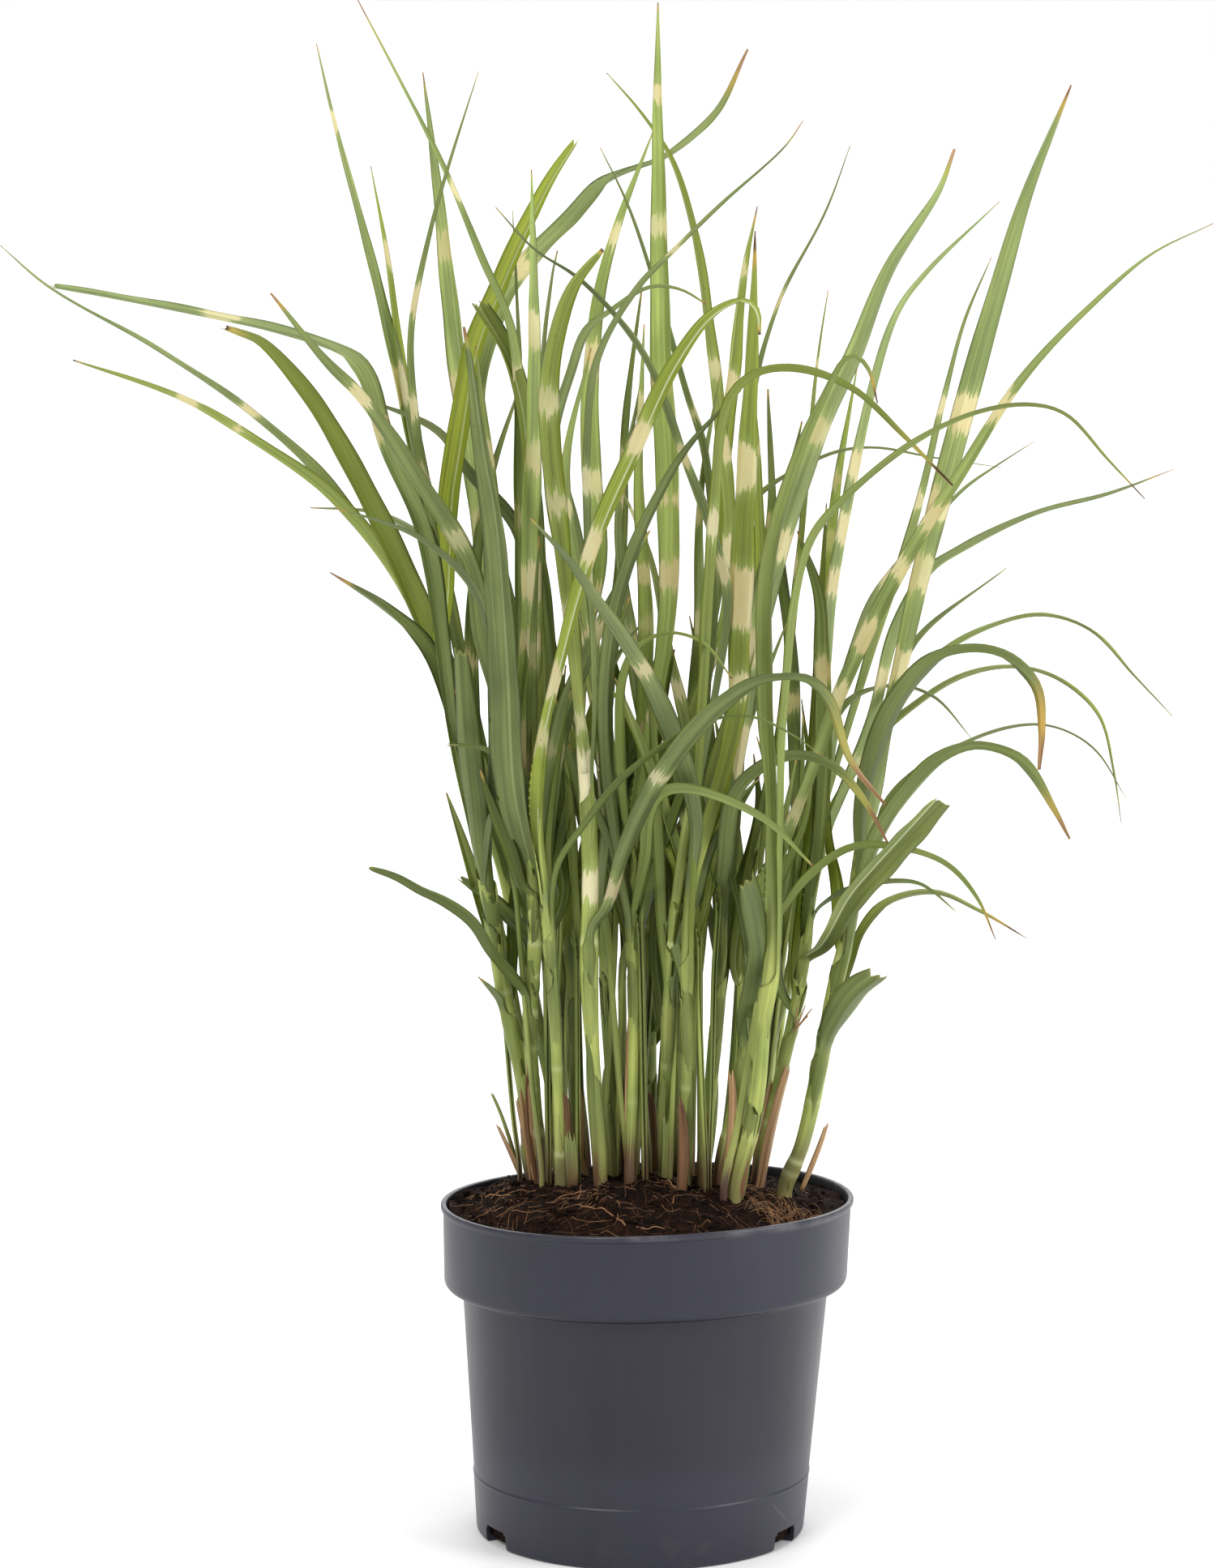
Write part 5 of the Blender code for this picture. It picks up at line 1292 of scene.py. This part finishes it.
def add_fibre(build, draw, x, y, heading, long, thick, lift, curve, shade):
    """One root fibre: a thin bent tube that lies on the peat and rises off it by up to lift."""
    steps = max(5, int(long / 0.003))
    rows = []
    bend = draw.uniform(-curve, curve)
    rise_at = draw.uniform(0.3, 1.0)
    for step in range(steps + 1):
        hump = math.exp(-((step / steps - rise_at) / 0.28) ** 2)
        if math.hypot(x, y) > FIBRE_REACH:
            break
        rows.append((x, y, ground_height(x, y) + thick * 0.6 + lift * hump))
        heading += (bend + draw.uniform(-curve, curve) * 0.8) * long / steps
        x += math.cos(heading) * long / steps
        y += math.sin(heading) * long / steps
    if len(rows) < 4:
        return
    rows = evenly([Vector(row) for row in rows], 0.0018)
    along = tangents(rows)
    side = unit(np.cross(along, (0.0, 0.0, 1.0)) + np.array((1e-6, 0, 0)))
    up = np.cross(side, along)
    taper = (thick * (1.0 - 0.6 * np.linspace(0.0, 1.0, len(rows))))[:, None]
    turns = np.linspace(0.0, math.tau, 5, endpoint=False)
    ring = [rows + side * taper * math.cos(turn) + up * taper * math.sin(turn) for turn in turns]
    tint = (shade, 1.0, 1.0)
    build.add_tube(ring, end_caps, (run_of(rows)[:, None], 0.0, draw.uniform(0, 90)), tint, tint)


def make_fibres(material):
    """Root fibres all over the peat, the dense tuft of them at the front right, and straws."""
    draw = random.Random(23)
    build = Build()
    for _ in range(FIBRES):
        x, y = random_ground(draw)
        add_fibre(build, draw, x, y, draw.uniform(0, math.tau), draw.uniform(0.008, 0.038),
                  draw.uniform(0.00007, 0.00020), draw.uniform(0.0, 0.0030) * draw.random(), 60.0,
                  draw.random() ** 1.4)
    tuft = sight(*TUFT)
    for _ in range(TUFT_FIBRES):
        turn, out = draw.uniform(0, math.tau), TUFT_RADIUS * math.sqrt(draw.random())
        add_fibre(build, draw, tuft.x + out * math.cos(turn), tuft.y + out * math.sin(turn) * 0.8,
                  draw.uniform(0, math.tau), draw.uniform(0.010, 0.028), draw.uniform(0.00008, 0.00020),
                  draw.uniform(0.002, 0.009), 95.0, draw.uniform(0.4, 1.0))
    for _ in range(STRAWS):
        x, y = random_ground(draw, 0.095)
        add_fibre(build, draw, x, y, draw.uniform(0, math.tau), draw.uniform(0.012, 0.040),
                  draw.uniform(0.0003, 0.0006), 0.001, 12.0, draw.uniform(0.2, 0.8))
    hand_over(build.finish("root_fibres", material))


# ---------------------------------------------------------------- plant

def route_across(name, down):
    """How far across the drawing a stem or its top leaf is at a place down it."""
    across, downs = zip(*STEMS[name]["up"], *STEMS[name]["route"])
    return float(np.interp(-down, [-value for value in downs], across))


def add_inner_leaves(build, name, seed):
    """Leaves of the clump's middle: each leaves its stem low, some upright and some across others."""
    draw = random.Random(seed)
    low = max(down for _, down in STEMS[name]["up"])
    for number in range(int(look(name, "inner", 1)[0])):
        kind = INNER_LEAVES[min(number, 1)]
        highest, lowest = kind["from"]
        down = draw.uniform(highest, min(lowest, low - kind["clear"]))
        tip = draw.uniform(*kind["tip"])
        middle = CLUMP_MIDDLE - route_across(name, down)
        side = math.copysign(1.0, middle + draw.uniform(-120, 120))
        drift = side * draw.uniform(*kind["drift"])

        def place(part, sway=0.0):
            at = down + (tip - down) * part
            return route_across(name, at) + drift * part ** 1.3 + sway, at

        route = [place(part, draw.uniform(-INNER_SWAY, INNER_SWAY)) for part in (0.22, 0.5, 0.78, 1.0)]
        depth = STEMS[name]["entry"][1] + draw.uniform(-55, 45)
        true_mm = draw.uniform(*kind["width"])
        seen = true_mm * draw.uniform(1.3, 2.1)
        row = {"entry": [name, down, seen, true_mm, depth, 1], "route": route}
        title = f"{name}_inner_{number}"
        parts = (draw.uniform(0.42, 0.62), draw.uniform(0.70, 0.86))
        row["dry"] = (9.0, 3.0)
        if number:
            row["bands"] = [(*place(part), draw.uniform(7, 14)) for part in parts]
        # Painted shade: inner leaves are painted darker the lower their tips are in the clump.
        high = (INNER_PAINTED_SHADE_FROM - tip) / INNER_PAINTED_SHADE_OVER
        row["tone"] = (draw.uniform(0.36, 0.70) + high * 0.30, draw.uniform(0.1, 1.0))
        LOOKS[title] = row
        add_side_leaf(build, title, row, seed + number)


def add_shoots(build, name, seed):
    """Thin young shoots beside a stem: rolled from the peat up, then a narrow blade."""
    draw = random.Random(seed)
    foot = stem_route(name)[0]
    for number in range(int(look(name, "shoots", 2)[0])):
        turn, out = draw.uniform(0.0, math.tau), draw.uniform(0.008, 0.016)
        shift = Vector((out * math.cos(turn), out * math.sin(turn), 0.0))
        lean = draw.uniform(-SHOOT_LEAN, SHOOT_LEAN)
        opens = draw.uniform(*SHOOT_OPENS)
        tip = opens - draw.uniform(*SHOOT_BLADE)
        cross = lean + math.copysign(draw.uniform(*SHOOT_CROSS), lean + draw.uniform(-12, 12))
        depth = foot.y + shift.y
        ground = peat_height(foot.x + shift.x, depth)
        start = Vector((foot.x + shift.x, depth, ground - 0.004))
        across, low = drawn(rows_of([start]))[0]
        route = [start, start + Vector((0.0, 0.0, 0.012))]
        far = (route_across(name, opens) - route_across(name, low)) * 0.9 + lean
        for part in (0.35, 0.7, 1.0):
            route.append(sight(across + far * part, low + (opens - low) * part, depth))
        for part in (0.3, 0.65, 1.0):
            route.append(sight(across + far + cross * part ** 1.2, opens + (tip - opens) * part,
                               depth + draw.uniform(-0.01, 0.02)))
        rows = evenly(smooth_curve(route), RING_STEP)
        run = run_of(rows)
        split = run[np.argmin(np.abs(drawn(rows)[:, 1] - opens))]
        angle = draw.uniform(-60, 60)
        sign = upper_sign(rows, angle)
        directions, off = frames(rows, angle, sign)
        roll = draw.uniform(0.0013, 0.0021)
        wrap = 1.0 - smooth_part(run, split - 0.02, split + 0.05)
        title = f"{name}_shoot_{number}"
        wide = draw.uniform(6.5, 10.0)
        width = blade_width(title, run, split, wide, 1, math.tau * roll * 0.95, wrap)
        LOOKS[title] = {"tone": (draw.uniform(0.60, 0.95), draw.uniform(0.2, 0.9))}
        add_blade(build, title, rows, directions, off * sign, width, wrap, roll, 0.0, seed + number)


def add_foot_sheaths(build, name, seed):
    """Outer sheaths round the foot of a stem: some green, some dry or wine red, cut or torn off."""
    draw = random.Random(seed)
    foot, _, above, *_ = stem_route(name)
    thick = STEMS[name]["entry"][3] * MM / 2
    for number in range(seed, seed + 3):
        turn = draw.uniform(0.0, math.tau)
        aside = Vector((math.cos(turn), math.sin(turn), 0.0))
        low = Vector((foot.x, foot.y, foot.z + SOCKET_DEPTH - 0.006)) + aside * thick * 0.5
        high = above.lerp(low, draw.uniform(0.0, 0.6)) + aside * draw.uniform(0.0008, 0.0040)
        LOOKS[f"scrap_{number}"] = {"tone": (draw.uniform(0.40, 0.80), draw.uniform(0.2, 0.7))}
        add_scrap(build, low, high, draw.uniform(5, 9), draw.choice((0.0, 0.0, 1.0)), number,
                  thick + 0.0008)
    for number, (stem, *words) in enumerate(STUBS, seed + 20):
        if stem != name:
            continue
        across, down, tip_across, tip_down, depth, width, dead = (float(word) for word in words)
        dark = 0.65 if dead == STUB_DARK else 0.15
        LOOKS[f"scrap_{number}"] = {"tone": (draw.uniform(0.55, 0.85), dark)}
        add_scrap(build, sight(across, down, depth * MM),
                  sight(tip_across, tip_down, (depth - STUB_FORWARD) * MM), width, dead, number, STUB_ROLL)


def make_plant(material):
    """Each stem with its top leaf and small leaves, and each side leaf, in place of its solid.

    Each kind of blade has seeds of its own on each stem, so that a change to one keeps the others.
    """
    for number, name in enumerate(STEMS):
        build = Build()
        seed = 100 + number * 11
        add_culm(build, name, seed)
        add_top_leaf(build, name, seed + 1)
        for own_seed, title in enumerate(leaves_of(SMALL_LEAVES, name), seed + 2):
            if "route" in SMALL_LEAVES[title]:
                add_side_leaf(build, title, SMALL_LEAVES[title], own_seed)
        add_inner_leaves(build, name, 1000 + number * 13)
        for own_seed, title in enumerate(leaves_of(MORE_LEAVES, name), 3000 + number * 19):
            add_side_leaf(build, title, MORE_LEAVES[title], own_seed)
        add_shoots(build, name, 4000 + number * 17)
        add_foot_sheaths(build, name, 2000 + number * 13)
        hand_over(build.finish(f"fine_{name}", material), name)
    for number, (name, row) in enumerate(SIDE_LEAVES.items()):
        build = Build()
        add_side_leaf(build, name, row, 500 + number * 7, COLLAR_GAP)
        hand_over(build.finish(f"fine_{name}", material), name)


# ---------------------------------------------------------------- stage, light and camera

def make_stage():
    """A plain pale floor that bends up into a backdrop behind."""
    g = Graph("pale_floor")
    material = g.show(g.skin((0.90, 0.90, 0.90, 1.0), 0.9, 0.1))
    front, behind, bend, top, half = -6.0, 1.6, 1.2, 6.0, 7.0
    outline = [(front, 0.0), (behind, 0.0)]
    for step in range(1, 13):
        turn = math.radians(90.0 * step / 12)
        outline.append((behind + math.sin(turn) * bend, bend - math.cos(turn) * bend))
    outline.append((behind + bend, top))
    corners = [(side * half, y, z) for y, z in outline for side in (-1.0, 1.0)]
    faces = [(i * 2, i * 2 + 1, i * 2 + 3, i * 2 + 2) for i in range(len(outline) - 1)]
    new_piece("floor", corners, faces, material)


def softbox(name, place, width, height, power):
    """A soft lamp that faces the middle of the clump."""
    lamp = bpy.data.lights.new(name, "AREA")
    lamp.shape = "RECTANGLE"
    lamp.size = width
    lamp.size_y = height
    lamp.energy = power
    made = link(name, lamp)
    made.location = place
    made.rotation_euler = (Vector((0.0, 0.0, 0.45)) - Vector(place)).to_track_quat("-Z", "Y").to_euler()


def make_light():
    """A white room and four softboxes."""
    world = bpy.data.worlds.new("studio")
    world.use_nodes = True
    background = world.node_tree.nodes["Background"]
    background.inputs["Color"].default_value = (1.0, 1.0, 1.0, 1.0)
    background.inputs["Strength"].default_value = 0.55
    bpy.context.scene.world = world
    softbox("key", (-1.3, -2.1, 1.9), 1.3, 1.3, 40.0)
    softbox("fill", (2.0, -1.0, 1.0), 0.9, 1.8, 34.0)
    softbox("back", (0.4, 2.2, 2.0), 2.4, 1.4, 40.0)
    softbox("top", (0.0, -0.2, 2.8), 1.8, 1.8, 26.0)


def make_camera():
    """The camera that sees what the front drawing shows."""
    camera = bpy.data.cameras.new("camera")
    camera.sensor_fit = "AUTO"
    camera.sensor_width = SENSOR
    camera.lens = SENSOR * DRAWING_PER_METRE * EYE_DISTANCE / PICTURE_HEIGHT
    camera.shift_x = (PICTURE_WIDTH / 2 - DRAWING_AXIS) / PICTURE_HEIGHT
    horizon = DRAWING_GROUND - EYE_HEIGHT * DRAWING_PER_METRE
    camera.shift_y = (horizon - PICTURE_HEIGHT / 2) / PICTURE_HEIGHT
    made = link("camera", camera)
    made.location = (0.0, -EYE_DISTANCE, EYE_HEIGHT)
    made.rotation_euler = (math.radians(90.0), 0.0, 0.0)
    bpy.context.scene.camera = made


bpy.context.scene.view_settings.view_transform = "Standard"
make_camera()
make_light()
make_stage()
make_pot(pot_material())
peat = peat_material()
make_soil(peat)
make_crumbs(peat)
make_fibres(fibre_material())
make_plant(blade_material())
